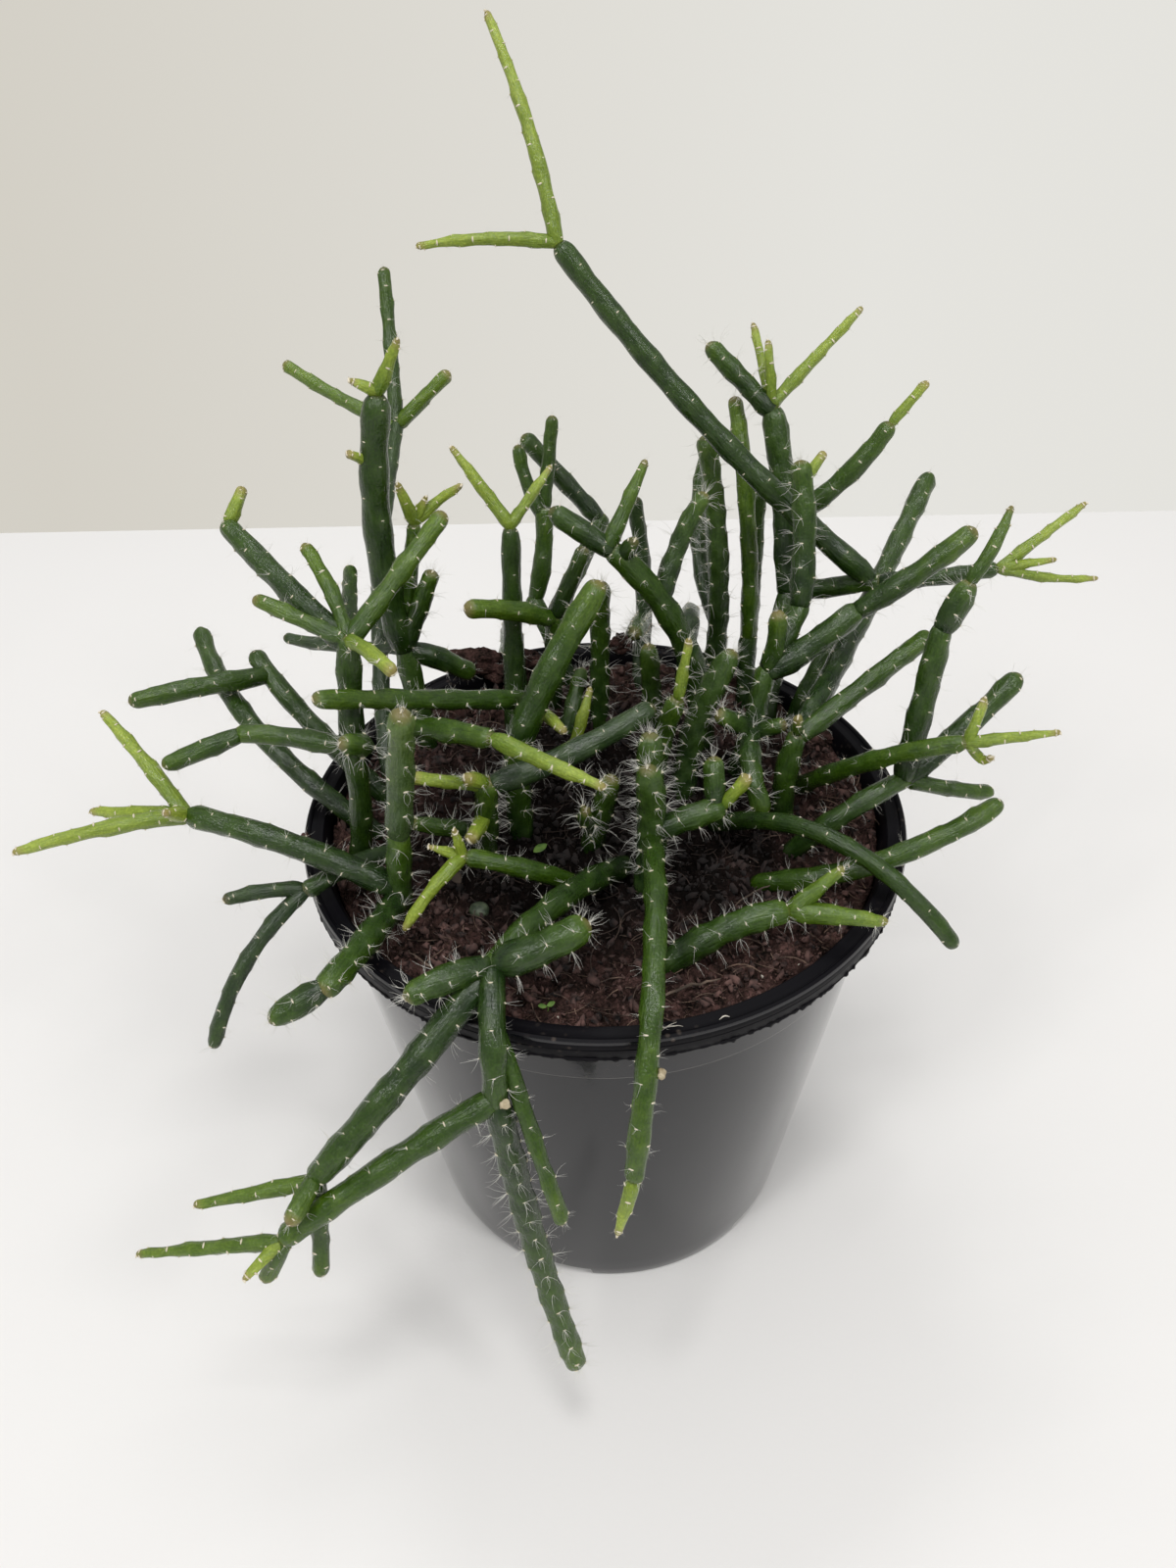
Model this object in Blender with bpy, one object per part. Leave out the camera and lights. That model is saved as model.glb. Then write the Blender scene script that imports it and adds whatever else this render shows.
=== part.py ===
"""Mistletoe cactus, a bush of round jointed stems, planted in a round nursery pot.

Frame: metres, +Z up, origin at the centre of the pot's underside, pot standing on z = 0.
The viewer stands on the -Y side. The stem tables are in millimetres.
"""

import math

import bmesh
import bpy
import numpy as np
from mathutils import Vector

MM = 0.001

# Pot
POT_HEIGHT = 106.8
POT_BASE_RADIUS = 42.5
POT_WALL_SPREAD = 13.7
POT_WALL_HEIGHT = 102.0
POT_WALL = 1.2
POT_FLOOR = 1.8
FOOT_CHAMFER = 1.0
RIM_RADIUS = 60.0
RIM_INNER_RADIUS = 56.0
RIM_THICKNESS = 1.3
RIM_ROUNDING = 0.8
RIM_HOLLOW = 0.5
RIM_FUNNEL = 2.0
SKIRT_RADIUS = 59.6
SKIRT_WALL = 1.0
SEAM_HEIGHT = 90.3
SEAM_STEP = 0.3
POT_SIDES = 48
DRAIN_COUNT = 5
DRAIN_WIDTH = 19.0
DRAIN_NARROWING = 2.0
DRAIN_HEIGHT = 3.2
DRAIN_DEPTH = 7.0
DRAIN_FIRST_ANGLE = -39.0

# Soil
SOIL_LEVEL = 102.6
SOIL_BACK_RISE = 1.4
SOIL_RIPPLE = 0.5
SOIL_FINE_RIPPLE = 0.3
SOIL_EDGE_START = 44.0
SOIL_EDGE_SLOPE = 0.05
SOIL_SIDES = 24
SOIL_RINGS = (13.0, 26.0, 38.0, 48.0)
ROOT_DEPTH = 6.0

# Fit between neighbouring pieces
GAP = 0.3
WALL_GAP = 1.5 * GAP
FACET_GAP = 1.15 * GAP

# Stems
BAND_LENGTH = 11.0
BAND_TURN = 20.0
NECK_SHARE = 0.7
THICK_DIAMETER = 5.0
THIN_DIAMETER = 3.0
COLLAR_LENGTH = 5.0
YOUNG_TIP_SHARE = 0.5
OLD_TIP_SHARE = 0.9
JOINT_SINK = 0.45
HUB_SHARE = 0.36
CURVE_POINTS = 33
NEIGHBOUR_POINTS = 14
TANGENT_REACH = 0.4

# Bristles
BRISTLE_LENGTH = 2.8
BRISTLE_HALF_BASE = 0.32
BRISTLE_LEAN = 0.9
BRISTLE_BAND = 4.0
BRISTLE_CLEARANCE = 0.7
BRISTLE_RIM_CLEARANCE = 1.0

# Each stem: name, where it starts, where it ends, sideways bow at its middle, diameter.
# A start is a point on the soil, the name of a stem to grow from the end of,
# or that name with the share of its length to grow from.
OLD_STEMS = {
    "stems_left_front": (
        ("trunk", (-40, -24), (-38, -22, 123), (0, 0, 0), 4.7),
        ("upright", "trunk", (-34, -25, 151), (0, 1, 0), 4.9),
        ("arm", ("trunk", 0.3), (-78, -13, 121), (0, -2, 4), 4.7),
        ("low_arm", ("trunk", 0.2), (-50, -52, 114), (1, 0, 1), 5.0),
        ("low_tip", "low_arm", (-59, -54, 110), (0, 0, 0), 4.5),
    ),
    "stems_left_tall": (
        ("trunk", (-49, -9), (-47, -6, 130), (1, 0, 0), 4.4),
        ("upper", "trunk", (-45, -1, 151), (0, 0, 0), 4.6),
        ("shoot_left", "upper", (-62, 6, 155), (0, 0, 0), 3.0),
        ("shoot_up", "upper", (-53, 14, 161), (1, 0, 0), 2.8),
        ("shoot_front", "upper", (-36, -13, 150), (0, 0, 1), 2.7),
        ("arm_right", "upper", (-27, 16, 165), (0, 0, 0), 3.7),
        ("arm_left", "upper", (-69, 24, 161), (0, 0, -1), 4.5),
        ("arm_left_tip", "arm_left", (-65, 28, 166), (0, 0, 0), 2.6),
        ("arm_back", "upper", (-47, 24, 150), (0, 0, 0), 3.0),
        ("low_arm", ("trunk", 0.97), (-69, -2, 131), (0, 1, 0), 3.9),
        ("low_tip", "low_arm", (-82, -7, 128), (0, 0, 0), 3.7),
        ("stub", ("trunk", 0.97), (-47, -16, 138), (3, 0, 0), 4.2),
    ),
    "stem_left_long": (
        ("arm", (-46, -1), (-84, 41, 127), (-5, -4, 3), 4.1),
    ),
    "stems_left_back": (
        ("arm", (-44, 9), (-71, 30, 128), (-2, -1, 2), 4.2),
        ("side_tip", ("arm", 0.85), (-93, 14, 128), (0, -1, 1), 4.1),
    ),
    "stems_centre_left": (
        ("trunk", (-41, -14), (-37, -1, 133), (0, 0, 0), 4.2),
        ("arm", "trunk", (-20, -13, 135), (0, 0, 0), 4.3),
        ("low_arm", ("trunk", 0.15), (-57, -25, 111), (1, 1, 1), 3.7),
        ("low_tip", "low_arm", (-70, -29, 114), (0, 1, 0), 2.8),
        ("drooping", "low_arm", (-75, -41, 88), (-2, -1, 3), 3.0),
    ),
    "stems_back_left": (
        ("trunk", (-37, 27), (-40, 33, 127), (0, 0, 0), 5.0),
        ("thick", "trunk", (-39, 38, 179), (-3, 0, 0), 6.0),
        ("thick_bud", ("thick", 0.75), (-46, 34, 169), (0, 0, 0), 1.8),
        ("thin", "trunk", (-35, 36, 153), (0, 1, 0), 3.3),
        ("hairy", "trunk", (-32, 32, 144), (0, 0, 0), 4.0),
        ("low", "trunk", (-26, 35, 116), (0, 0, 1), 4.8),
        ("side", "trunk", (-68, 46, 121), (0, 1, -2), 2.8),
    ),
    "stems_far_left": (
        ("arm", (-45, 18), (-42, 90, 151), (-3, 0, 0), 3.6),
        ("upright", "arm", (-43, 109, 180), (0, 1, 0), 3.2),
        ("left", "arm", (-69, 105, 160), (0, 0, -1), 3.2),
        ("right", "arm", (-29, 93, 161), (0, 0, 0), 3.4),
    ),
    "stem_centre_tall": (
        ("trunk", (-18, 24), (-16, 38, 150), (0, 2, -1), 4.3),
    ),
    "stems_centre_thick": (
        ("trunk", (-17, -3), (-17, 0, 125), (0, 0, 0), 5.2),
        ("thick", "trunk", (1, 13, 151), (-1, 0, 0), 5.6),
        ("riser", ("trunk", 0.5), (-13, 11, 128), (0, 1, -1), 4.0),
        ("arm", "riser", (-51, -12, 145), (0, 0, 0), 3.8),
        ("bud", ("riser", 0.9), (-7, 2, 124), (0, 0, 0), 2.2),
    ),
    "stems_centre_level": (
        ("trunk", (-24, -9), (-22, -13, 126), (0, 0, 0), 4.6),
        ("arm", "trunk", (10, 0, 131), (0, -1, -1), 4.6),
        ("bud_left", ("trunk", 0.9), (-36, -14, 128), (0, 0, 0), 2.5),
        ("low_left", ("trunk", 0.3), (-37, -14, 117), (0, 0, 0), 3.4),
        ("bud_top", "trunk", (-26, -16, 129), (0, 0, 0), 2.8),
        ("bud_front", ("trunk", 0.55), (-26, -19, 116), (0, 0, 0), 3.0),
    ),
    "stem_centre_front_left": (
        ("arm", (-6, -19), (-27, -24, 117), (2, -2, 2), 3.7),
    ),
    "stems_centre_small": (
        ("trunk", (-3, -8), (1, -12, 124), (0, 0, 0), 4.4),
        ("side", ("trunk", 0.25), (-4, -14, 118), (-1, 0, 0), 3.0),
    ),
    "stems_centre_front": (
        ("trunk", (7, -20), (7, -18, 131), (1, 1, 0), 5.5),
        ("back", ("trunk", 0.2), (8, -12, 134), (0, 1, 0), 5.0),
        ("hanging", ("trunk", 0.4), (0, -74, 88), (1, -8, 15), 4.0),
        ("side", ("trunk", 0.45), (22, -16, 119), (0, -1, 1), 4.8),
        ("side_bud", "side", (26, -16, 126), (0, 0, 0), 2.6),
        ("side_up", ("side", 0.85), (20, -11, 127), (0, 0, 0), 4.0),
    ),
    "stems_front_left": (
        ("trunk", (3, -14), (-23, -50, 114), (0, 0, 4), 4.7),
        ("short_right", "trunk", (-5, -46, 121), (0, -1, 0), 5.9),
        ("short_left", "trunk", (-36, -55, 115), (0, 0, 1), 4.8),
        ("left", "trunk", (-54, -69, 86), (0, -3, 2), 5.3),
        ("left_olive", "left", (-57, -77, 86), (0, 0, 0), 3.5),
        ("left_down", "left", (-55, -75, 66), (0, 1, 0), 3.2),
        ("down", "trunk", (-22, -65, 98), (0, -3, 3), 4.6),
        ("down_long", "down", (-11, -79, 34), (-1, 1, -1), 4.7),
        ("down_left", "down", (-60, -75, 78), (0, 0, 1), 4.6),
        ("down_left_tip", "down_left", (-64, -77, 69), (0, 0, 0), 3.1),
        ("down_thin", ("down", 0.35), (-12, -75, 78), (0, -1, 1), 2.9),
    ),
    "stem_front_right": (
        ("arm", (9, -40), (31, -37, 112), (-1, 0, 2), 5.2),
    ),
    "stem_right_arching": (
        ("arm", (22, -4), (62, -38, 101), (-1, -3, 14), 3.5),
    ),
    "stem_right_front": (
        ("arm", (29, -20), (73, -19, 119), (-1, -6, 1), 4.1),
    ),
    "stems_right_forked": (
        ("trunk", (36, -13), (59, -8, 117), (-1, -3, 4), 4.1),
        ("outer", "trunk", (81, 3, 132), (0, 0, -1), 4.5),
        ("outer_low", "trunk", (76, -8, 112), (0, -1, 0), 3.1),
        ("upright", "trunk", (62, -2, 148), (0, 0, 0), 4.7),
        ("upright_tip", "upright", (66, -1, 156), (0, 0, 0), 4.6),
    ),
    "stem_right_crossing": (
        ("arm", (40, 6), (65, -17, 132), (-2, -3, 4), 3.7),
    ),
    "stems_right_leaning": (
        ("trunk", (36, -3), (38, -1, 124), (-1, 0, 0), 4.6),
        ("long", "trunk", (76, 59, 147), (0, 1, -4), 4.6),
        ("mid", "trunk", (66, 14, 135), (0, 0, 0), 4.1),
        ("bud", "trunk", (37, -3, 129), (0, 0, 0), 2.0),
    ),
    "stem_right_back_low": (
        ("arm", (43, 26), (59, 39, 124), (-2, -2, 4), 3.8),
    ),
    "stems_right_inner": (
        ("trunk", (29, 13), (31, 8, 119), (0, 0, 0), 4.4),
        ("stub_left", "trunk", (23, 6, 124), (0, 0, 0), 4.0),
        ("stub_right", "trunk", (37, 5, 121), (0, 0, 0), 3.7),
        ("drooping", "trunk", (31, -9, 110), (-2, -3, 3), 4.2),
        ("riser", "trunk", (34, 14, 130), (0, 0, 0), 4.3),
        ("riser_tip", "riser", (35, 14, 142), (1, 0, 0), 3.8),
        ("middle", "riser", (42, 22, 139), (0, 0, 0), 4.6),
        ("top", "middle", (41, 33, 164), (1, 0, 0), 4.7),
        ("top_bud", ("top", 0.85), (46, 34, 165), (0, 0, 0), 2.0),
        ("out", "riser", (53, 19, 139), (0, -1, 0), 5.2),
        ("out_tip", "out", (73, 19, 155), (0, -1, 0), 4.5),
    ),
    "stem_inner_hairy": (
        ("arm", (17, 7), (27, 13, 134), (-2, 0, 1), 5.3),
    ),
    "stem_inner_thin": (
        ("arm", (10, 3), (15, 4, 130), (-1, 1, 0), 4.2),
    ),
    "stems_tallest": (
        ("trunk", (36, 26), (43, 40, 132), (0, 0, 0), 5.4),
        ("middle", "trunk", (39, 55, 166), (1, 0, 0), 5.6),
        ("middle_tip", "middle", (26, 61, 177), (0, 0, 0), 4.2),
        ("middle_side", ("middle", 0.4), (62, 46, 165), (1, -1, -1), 4.2),
        ("middle_side_bud", "middle_side", (69, 49, 172), (0, 0, 0), 2.0),
        ("right", "trunk", (60, 30, 138), (0, 0, 0), 4.1),
        ("right_out", "right", (82, 26, 142), (0, -1, 0), 3.5),
        ("long", "right", (-4, 57, 199), (-2, 0, -2), 4.7),
    ),
    "stems_back_upright": (
        ("trunk", (27, 39), (25, 51, 162), (2, -1, 0), 4.6),
        ("far", ("trunk", 0.3), (28, 67, 151), (-3, 2, -1), 3.7),
    ),
    "stems_back_upright_right": (
        ("trunk", (34, 36), (38, 57, 146), (0, 0, 0), 4.0),
        ("middle", ("trunk", 0.3), (32, 60, 166), (1, -3, 0), 3.7),
    ),
    "stems_centre_back": (
        ("trunk", (23, 23), (3, 24, 152), (5, 1, 2), 5.3),
        ("tip_left", "trunk", (-8, 27, 159), (0, 0, 0), 4.4),
        ("tip_front", ("trunk", 0.93), (8, 21, 155), (0, 0, 0), 3.0),
        ("side", ("trunk", 0.68), (23, 33, 158), (-1, 1, 0), 3.9),
    ),
    "stem_back_blurred": (
        ("arm", (11, 46), (11, 62, 143), (2, 3, -1), 3.8),
        ("stub", ("arm", 0.35), (9, 36, 124), (0, 0, 0), 4.2),
    ),
    "stem_back_short": (
        ("arm", (1, 31), (2, 33, 139), (0, 1, 0), 4.2),
    ),
    "stems_back_forked": (
        ("trunk", (-9, 39), (-8, 33, 132), (0, 0, 0), 4.0),
        ("left", "trunk", (-26, 25, 139), (0, 0, 1), 4.2),
        ("right", "trunk", (-1, 35, 146), (0, 0, 0), 3.6),
    ),
    "stems_back_far": (
        ("trunk", (-5, 47), (-13, 59, 121), (0, 0, 2), 4.3),
        ("upper", "trunk", (-9, 66, 140), (1, 0, 0), 4.2),
        ("thin", "upper", (-6, 73, 158), (0, 0, 0), 3.1),
        ("long_right", ("trunk", 0.6), (5, 72, 134), (0, 0, 0), 4.2),
        ("long_left", "long_right", (-13, 79, 151), (0, 0, 0), 4.2),
        ("bud", ("upper", 0.85), (-14, 72, 152), (-1, 0, 0), 3.1),
    ),
    "stem_back_low": (
        ("arm", (13, 31), (12, 35, 122), (0, 0, 0), 4.4),
    ),
    "stem_low_stub": (
        ("arm", (-6, 30), (-2, 40, 113), (0, 0, 1), 3.6),
    ),
    "stem_behind_left": (
        ("arm", (-17, 42), (-21, 84, 84), (1, 0, 16), 4.2),
    ),
    "stem_behind_right": (
        ("arm", (21, 42), (27, 86, 82), (1, 0, 18), 4.4),
    ),
}

YOUNG_STEMS = {
    "shoot_low_centre": (
        ("arm", (-6, 20), (-1, 27, 117), (0, -1, 0), 2.6),
    ),
}

# Young shoots: the old stem they grow from, then the shoots as end, bow and diameter.
YOUNG_SHOOTS = {
    "shoots_left_front": ("stems_left_front", "arm", (
        ((-94, 3, 134), (0, 0, 1), 3.0),
        ((-98, -7, 118), (0, 0, 0), 3.0),
        ((-108, -20, 120), (0, 0, 1), 3.2),
        ((-80, -18, 126), (0, 0, 0), 3.0),
    )),
    "shoots_thick_stem": ("stems_back_left", "thick", (
        ((-34, 38, 189), (0, 0, 0), 2.7),
        ((-44, 37, 182), (0, 0, 0), 2.2),
    )),
    "shoots_thin_stem": ("stems_back_left", "thin", (
        ((-37, 33, 163), (0, 0, 0), 2.6),
        ((-32, 37, 158), (0, 0, 0), 2.2),
        ((-25, 39, 159), (0, 1, 0), 2.4),
    )),
    "shoots_centre_tall": ("stem_centre_tall", "trunk", (
        ((-27, 46, 164), (0, 0, 0), 2.7),
        ((-7, 46, 159), (0, 0, 0), 2.4),
    )),
    "shoot_centre_left": ("stems_centre_left", "arm", (
        ((-1, -27, 134), (0, 0, 0), 3.2),
    )),
    "shoots_centre_front": ("stem_centre_front_left", "arm", (
        ((-38, -34, 109), (0, -1, 2), 2.7),
        ((-33, -24, 120), (0, 0, 0), 2.0),
        ((-28, -24, 124), (0, 0, 0), 2.0),
    )),
    "shoot_hanging": ("stems_centre_front", "hanging", (
        ((-3, -77, 77), (0, 0, 0), 2.5),
    )),
    "shoot_left_low": ("stems_front_left", "left", (
        ((-75, -69, 81), (0, 0, 0), 2.8),
    )),
    "shoots_lowest": ("stems_front_left", "down_left", (
        ((-87, -71, 70), (0, 0, 0), 2.7),
        ((-66, -80, 75), (0, 0, 0), 2.2),
    )),
    "shoots_front_right": ("stem_front_right", "arm", (
        ((40, -35, 120), (0, 0, 0), 3.1),
        ((47, -42, 113), (0, 0, 0), 3.8),
    )),
    "shoot_right_upright": ("stems_right_forked", "upright_tip", (
        ((73, 5, 167), (0, -1, 0), 2.6),
    )),
    "shoots_right_crossing": ("stem_right_crossing", "arm", (
        ((68, -13, 139), (0, 0, 0), 2.2),
        ((81, -18, 134), (0, 0, 0), 2.2),
        ((69, -19, 130), (1, 1, -3), 2.0),
    )),
    "shoot_inner": ("stem_inner_thin", "arm", (
        ((17, 6, 142), (0, 0, 0), 2.3),
    )),
    "shoots_tall_middle": ("stems_tallest", "middle", (
        ((58, 64, 182), (0, 0, 0), 2.7),
        ((36, 66, 179), (0, 0, 0), 2.3),
        ((38, 59, 178), (0, -1, 0), 2.3),
    )),
    "shoots_right_far": ("stems_tallest", "right_out", (
        ((100, 33, 152), (0, 0, 0), 2.4),
        ((93, 25, 144), (0, 0, 0), 2.0),
        ((101, 22, 141), (0, 0, -1), 2.0),
    )),
    "shoots_topmost": ("stems_tallest", "long", (
        ((-15, 78, 234), (1, -1, 1), 2.9),
        ((-31, 61, 198), (0, 0, 1), 2.6),
    )),
    "shoot_centre_back": ("stems_centre_back", "trunk", (
        ((11, 32, 166), (0, 0, 0), 3.1),
    )),
}

OLD_COLOUR = (0.030, 0.085, 0.022, 1.0)
YOUNG_COLOUR = (0.225, 0.390, 0.045, 1.0)
POT_COLOUR = (0.018, 0.017, 0.018, 1.0)
SOIL_COLOUR = (0.020, 0.012, 0.009, 1.0)


def clear_scene():
    for thing in list(bpy.data.objects):
        bpy.data.objects.remove(thing)


def make_material(name, colour, roughness):
    material = bpy.data.materials.new(name)
    material.use_nodes = True
    shader = material.node_tree.nodes["Principled BSDF"]
    shader.inputs["Base Color"].default_value = colour
    shader.inputs["Roughness"].default_value = roughness
    return material


def make_object(name, points, faces, material=None, smooth=True):
    """An object from points in millimetres."""
    mesh = bpy.data.meshes.new(name)
    mesh.from_pydata([tuple(value * MM for value in point) for point in points], [], faces)
    build = bmesh.new()
    build.from_mesh(mesh)
    bmesh.ops.recalc_face_normals(build, faces=build.faces)
    build.to_mesh(mesh)
    build.free()
    mesh.polygons.foreach_set("use_smooth", [smooth] * len(mesh.polygons))
    thing = bpy.data.objects.new(name, mesh)
    bpy.context.scene.collection.objects.link(thing)
    if material:
        mesh.materials.append(material)
    return thing


def combine(target, others, operation, solver="EXACT"):
    """Joins the others to the target, or cuts them from it, and removes them."""
    if not others:
        return
    helpers = bpy.data.collections.new(target.name + "_helpers")
    bpy.context.scene.collection.children.link(helpers)
    for other in others:
        bpy.context.scene.collection.objects.unlink(other)
        helpers.objects.link(other)
        other.hide_render = True
        other.display_type = "WIRE"
    modifier = target.modifiers.new("Combine", "BOOLEAN")
    modifier.operation = operation
    modifier.operand_type = "COLLECTION"
    modifier.collection = helpers
    modifier.solver = solver
    bpy.context.view_layer.update()
    graph = bpy.context.evaluated_depsgraph_get()
    joined = bpy.data.meshes.new_from_object(target.evaluated_get(graph))
    target.modifiers.remove(modifier)
    material = target.data.materials[0]
    target.data = joined
    joined.materials.clear()
    joined.materials.append(material)
    joined.polygons.foreach_set("material_index", [0] * len(joined.polygons))
    for other in others:
        bpy.data.objects.remove(other)
    bpy.data.collections.remove(helpers)


def revolved(profile, sides):
    """Points and faces of a closed profile of (radius, height) turned about Z."""
    points = []
    rings = []
    for radius, height in profile:
        if radius == 0:
            rings.append([len(points)])
            points.append((0.0, 0.0, height))
            continue
        rings.append(list(range(len(points), len(points) + sides)))
        for step in range(sides):
            angle = 2 * math.pi * step / sides
            points.append((radius * math.cos(angle), radius * math.sin(angle), height))
    faces = []
    for lower, upper in zip(rings, rings[1:] + rings[:1]):
        if len(lower) == 1 and len(upper) == 1:
            continue
        for step in range(sides):
            after = (step + 1) % sides
            if len(lower) == 1:
                faces.append((lower[0], upper[step], upper[after]))
            elif len(upper) == 1:
                faces.append((lower[step], lower[after], upper[0]))
            else:
                faces.append((lower[step], lower[after], upper[after], upper[step]))
    return points, faces


def wall_radius(height):
    return POT_BASE_RADIUS + POT_WALL_SPREAD * height / POT_WALL_HEIGHT


def pot_profile():
    """Outer underside, wall, rim and inside of the pot as one closed line."""
    under_rim = POT_HEIGHT - RIM_THICKNESS
    funnel = POT_HEIGHT - RIM_FUNNEL
    return (
        (0, 0),
        (POT_BASE_RADIUS - FOOT_CHAMFER, 0),
        (POT_BASE_RADIUS, FOOT_CHAMFER),
        (wall_radius(SEAM_HEIGHT), SEAM_HEIGHT),
        (wall_radius(SEAM_HEIGHT) + SEAM_STEP, SEAM_HEIGHT + SEAM_STEP),
        (wall_radius(under_rim) + SEAM_STEP, under_rim),
        (SKIRT_RADIUS - SKIRT_WALL, under_rim),
        (SKIRT_RADIUS - SKIRT_WALL, POT_WALL_HEIGHT),
        (SKIRT_RADIUS, POT_WALL_HEIGHT),
        (RIM_RADIUS, POT_HEIGHT - RIM_ROUNDING),
        (RIM_RADIUS - RIM_ROUNDING, POT_HEIGHT),
        ((RIM_RADIUS + RIM_INNER_RADIUS) / 2, POT_HEIGHT - RIM_HOLLOW),
        (RIM_INNER_RADIUS, POT_HEIGHT - RIM_HOLLOW / 2),
        (wall_radius(funnel) - POT_WALL, funnel),
        (wall_radius(POT_FLOOR) - POT_WALL, POT_FLOOR),
        (0, POT_FLOOR),
    )


def build_pot(material):
    points, faces = revolved(pot_profile(), POT_SIDES)
    pot = make_object("pot", points, faces, material)
    drains = []
    for step in range(DRAIN_COUNT):
        angle = math.radians(DRAIN_FIRST_ANGLE + 360 * step / DRAIN_COUNT)
        along = Vector((math.cos(angle), math.sin(angle), 0))
        across = Vector((-math.sin(angle), math.cos(angle), 0))
        corners = []
        for reach in (POT_BASE_RADIUS - DRAIN_DEPTH, POT_BASE_RADIUS + DRAIN_DEPTH):
            for side in (-0.5, 0.5):
                for height in (-DRAIN_HEIGHT, DRAIN_HEIGHT):
                    narrowing = DRAIN_NARROWING if height > 0 else 0.0
                    spread = side * (DRAIN_WIDTH - narrowing)
                    corner = along * reach + across * spread
                    corners.append((corner.x, corner.y, height))
        sides = ((0, 1, 3, 2), (4, 6, 7, 5), (0, 4, 5, 1), (2, 3, 7, 6), (0, 2, 6, 4), (1, 5, 7, 3))
        drains.append(make_object("drain", corners, sides))
    combine(pot, drains, "DIFFERENCE")


def soil_height(x, y):
    """Top of the soil: a low heap toward the back with shallow hollows."""
    ripple = SOIL_RIPPLE * math.sin(0.23 * x + 1.0) * math.cos(0.19 * y)
    ripple += SOIL_FINE_RIPPLE * math.sin(0.41 * y - 0.17 * x)
    back = SOIL_BACK_RISE * (y / POT_WALL_HEIGHT + 0.5)
    edge = max(0.0, math.hypot(x, y) - SOIL_EDGE_START) * SOIL_EDGE_SLOPE
    return SOIL_LEVEL + ripple + back - edge


def build_soil(material, roots):
    outer_top = wall_radius(SOIL_LEVEL) - POT_WALL - WALL_GAP
    bottom = POT_FLOOR + GAP
    points = [(0.0, 0.0, soil_height(0, 0))]
    rings = []
    for radius in SOIL_RINGS + (outer_top,):
        rings.append(list(range(len(points), len(points) + SOIL_SIDES)))
        for step in range(SOIL_SIDES):
            angle = 2 * math.pi * step / SOIL_SIDES
            x = radius * math.cos(angle)
            y = radius * math.sin(angle)
            points.append((x, y, soil_height(x, y)))
    rings.append(list(range(len(points), len(points) + SOIL_SIDES)))
    outer_bottom = wall_radius(bottom) - POT_WALL - WALL_GAP
    for step in range(SOIL_SIDES):
        angle = 2 * math.pi * step / SOIL_SIDES
        points.append((outer_bottom * math.cos(angle), outer_bottom * math.sin(angle), bottom))
    faces = []
    for step in range(SOIL_SIDES):
        faces.append((0, rings[0][step], rings[0][(step + 1) % SOIL_SIDES]))
    for inner, outer in zip(rings, rings[1:]):
        for step in range(SOIL_SIDES):
            after = (step + 1) % SOIL_SIDES
            faces.append((inner[step], outer[step], outer[after], inner[after]))
    faces.append(tuple(reversed(rings[-1])))
    soil = make_object("soil", points, faces, material)
    combine(soil, [swollen(*stem) for stem in roots], "DIFFERENCE")


def curve(start, end, bow):
    """Evenly sampled points of a stem that bows sideways at its middle."""
    start = np.array(start, float)
    end = np.array(end, float)
    control = (start + end) / 2 + 2 * np.array(bow, float)
    share = np.linspace(0, 1, CURVE_POINTS)[:, None]
    return (1 - share) ** 2 * start + 2 * share * (1 - share) * control + share**2 * end


def rooted(line):
    """The same stem with a root below it that leans half as much as the stem."""
    lean = line[1] - line[0]
    lean = lean / np.linalg.norm(lean) + np.array((0.0, 0.0, 1.0))
    foot = line[0] - ROOT_DEPTH * lean / np.linalg.norm(lean)
    return np.vstack((foot, line))


def at_distance(line, distances):
    steps = np.linalg.norm(np.diff(line, axis=0), axis=1)
    walked = np.concatenate(([0.0], np.cumsum(steps)))
    return np.stack([np.interp(distances, walked, line[:, axis]) for axis in range(3)], axis=1)


def length_of(line):
    return float(np.linalg.norm(np.diff(line, axis=0), axis=1).sum())


def turn_of(line):
    """The angle in degrees between the two ends of a stem."""
    first = line[2] - line[1]
    last = line[-1] - line[-2]
    cosine = first.dot(last) / np.linalg.norm(first) / np.linalg.norm(last)
    return math.degrees(math.acos(min(1.0, max(-1.0, cosine))))


def stem_rings(line, diameter, tip_share, root):
    """Distances and radii of a stem's rings: a narrow neck, a full body, a rounded tip."""
    length = length_of(line)
    radius = diameter / 2
    neck_end = min(ROOT_DEPTH + COLLAR_LENGTH if root else 0.9 * diameter, 0.45 * length)
    start = ROOT_DEPTH if root else 0.0
    tip_radius = radius * tip_share
    blunt = 1.1 if diameter >= THIN_DIAMETER else 0.6
    tip_start = max(length - blunt * tip_radius, 0.6 * length)
    bands = max(1, round((tip_start - neck_end) / BAND_LENGTH), round(turn_of(line) / BAND_TURN))
    rings = [(start, radius * NECK_SHARE)]
    if root:
        rings.insert(0, (0.0, radius * NECK_SHARE))
    for step in range(bands + 1):
        share = step / bands
        distance = neck_end + (tip_start - neck_end) * share
        taper = 1.0 - (1.0 - tip_share) * share**2
        rings.append((distance, radius * taper))
    if diameter >= THIN_DIAMETER:
        rings.append((length - 0.3 * tip_radius, tip_radius * 0.62))
    return rings


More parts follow.
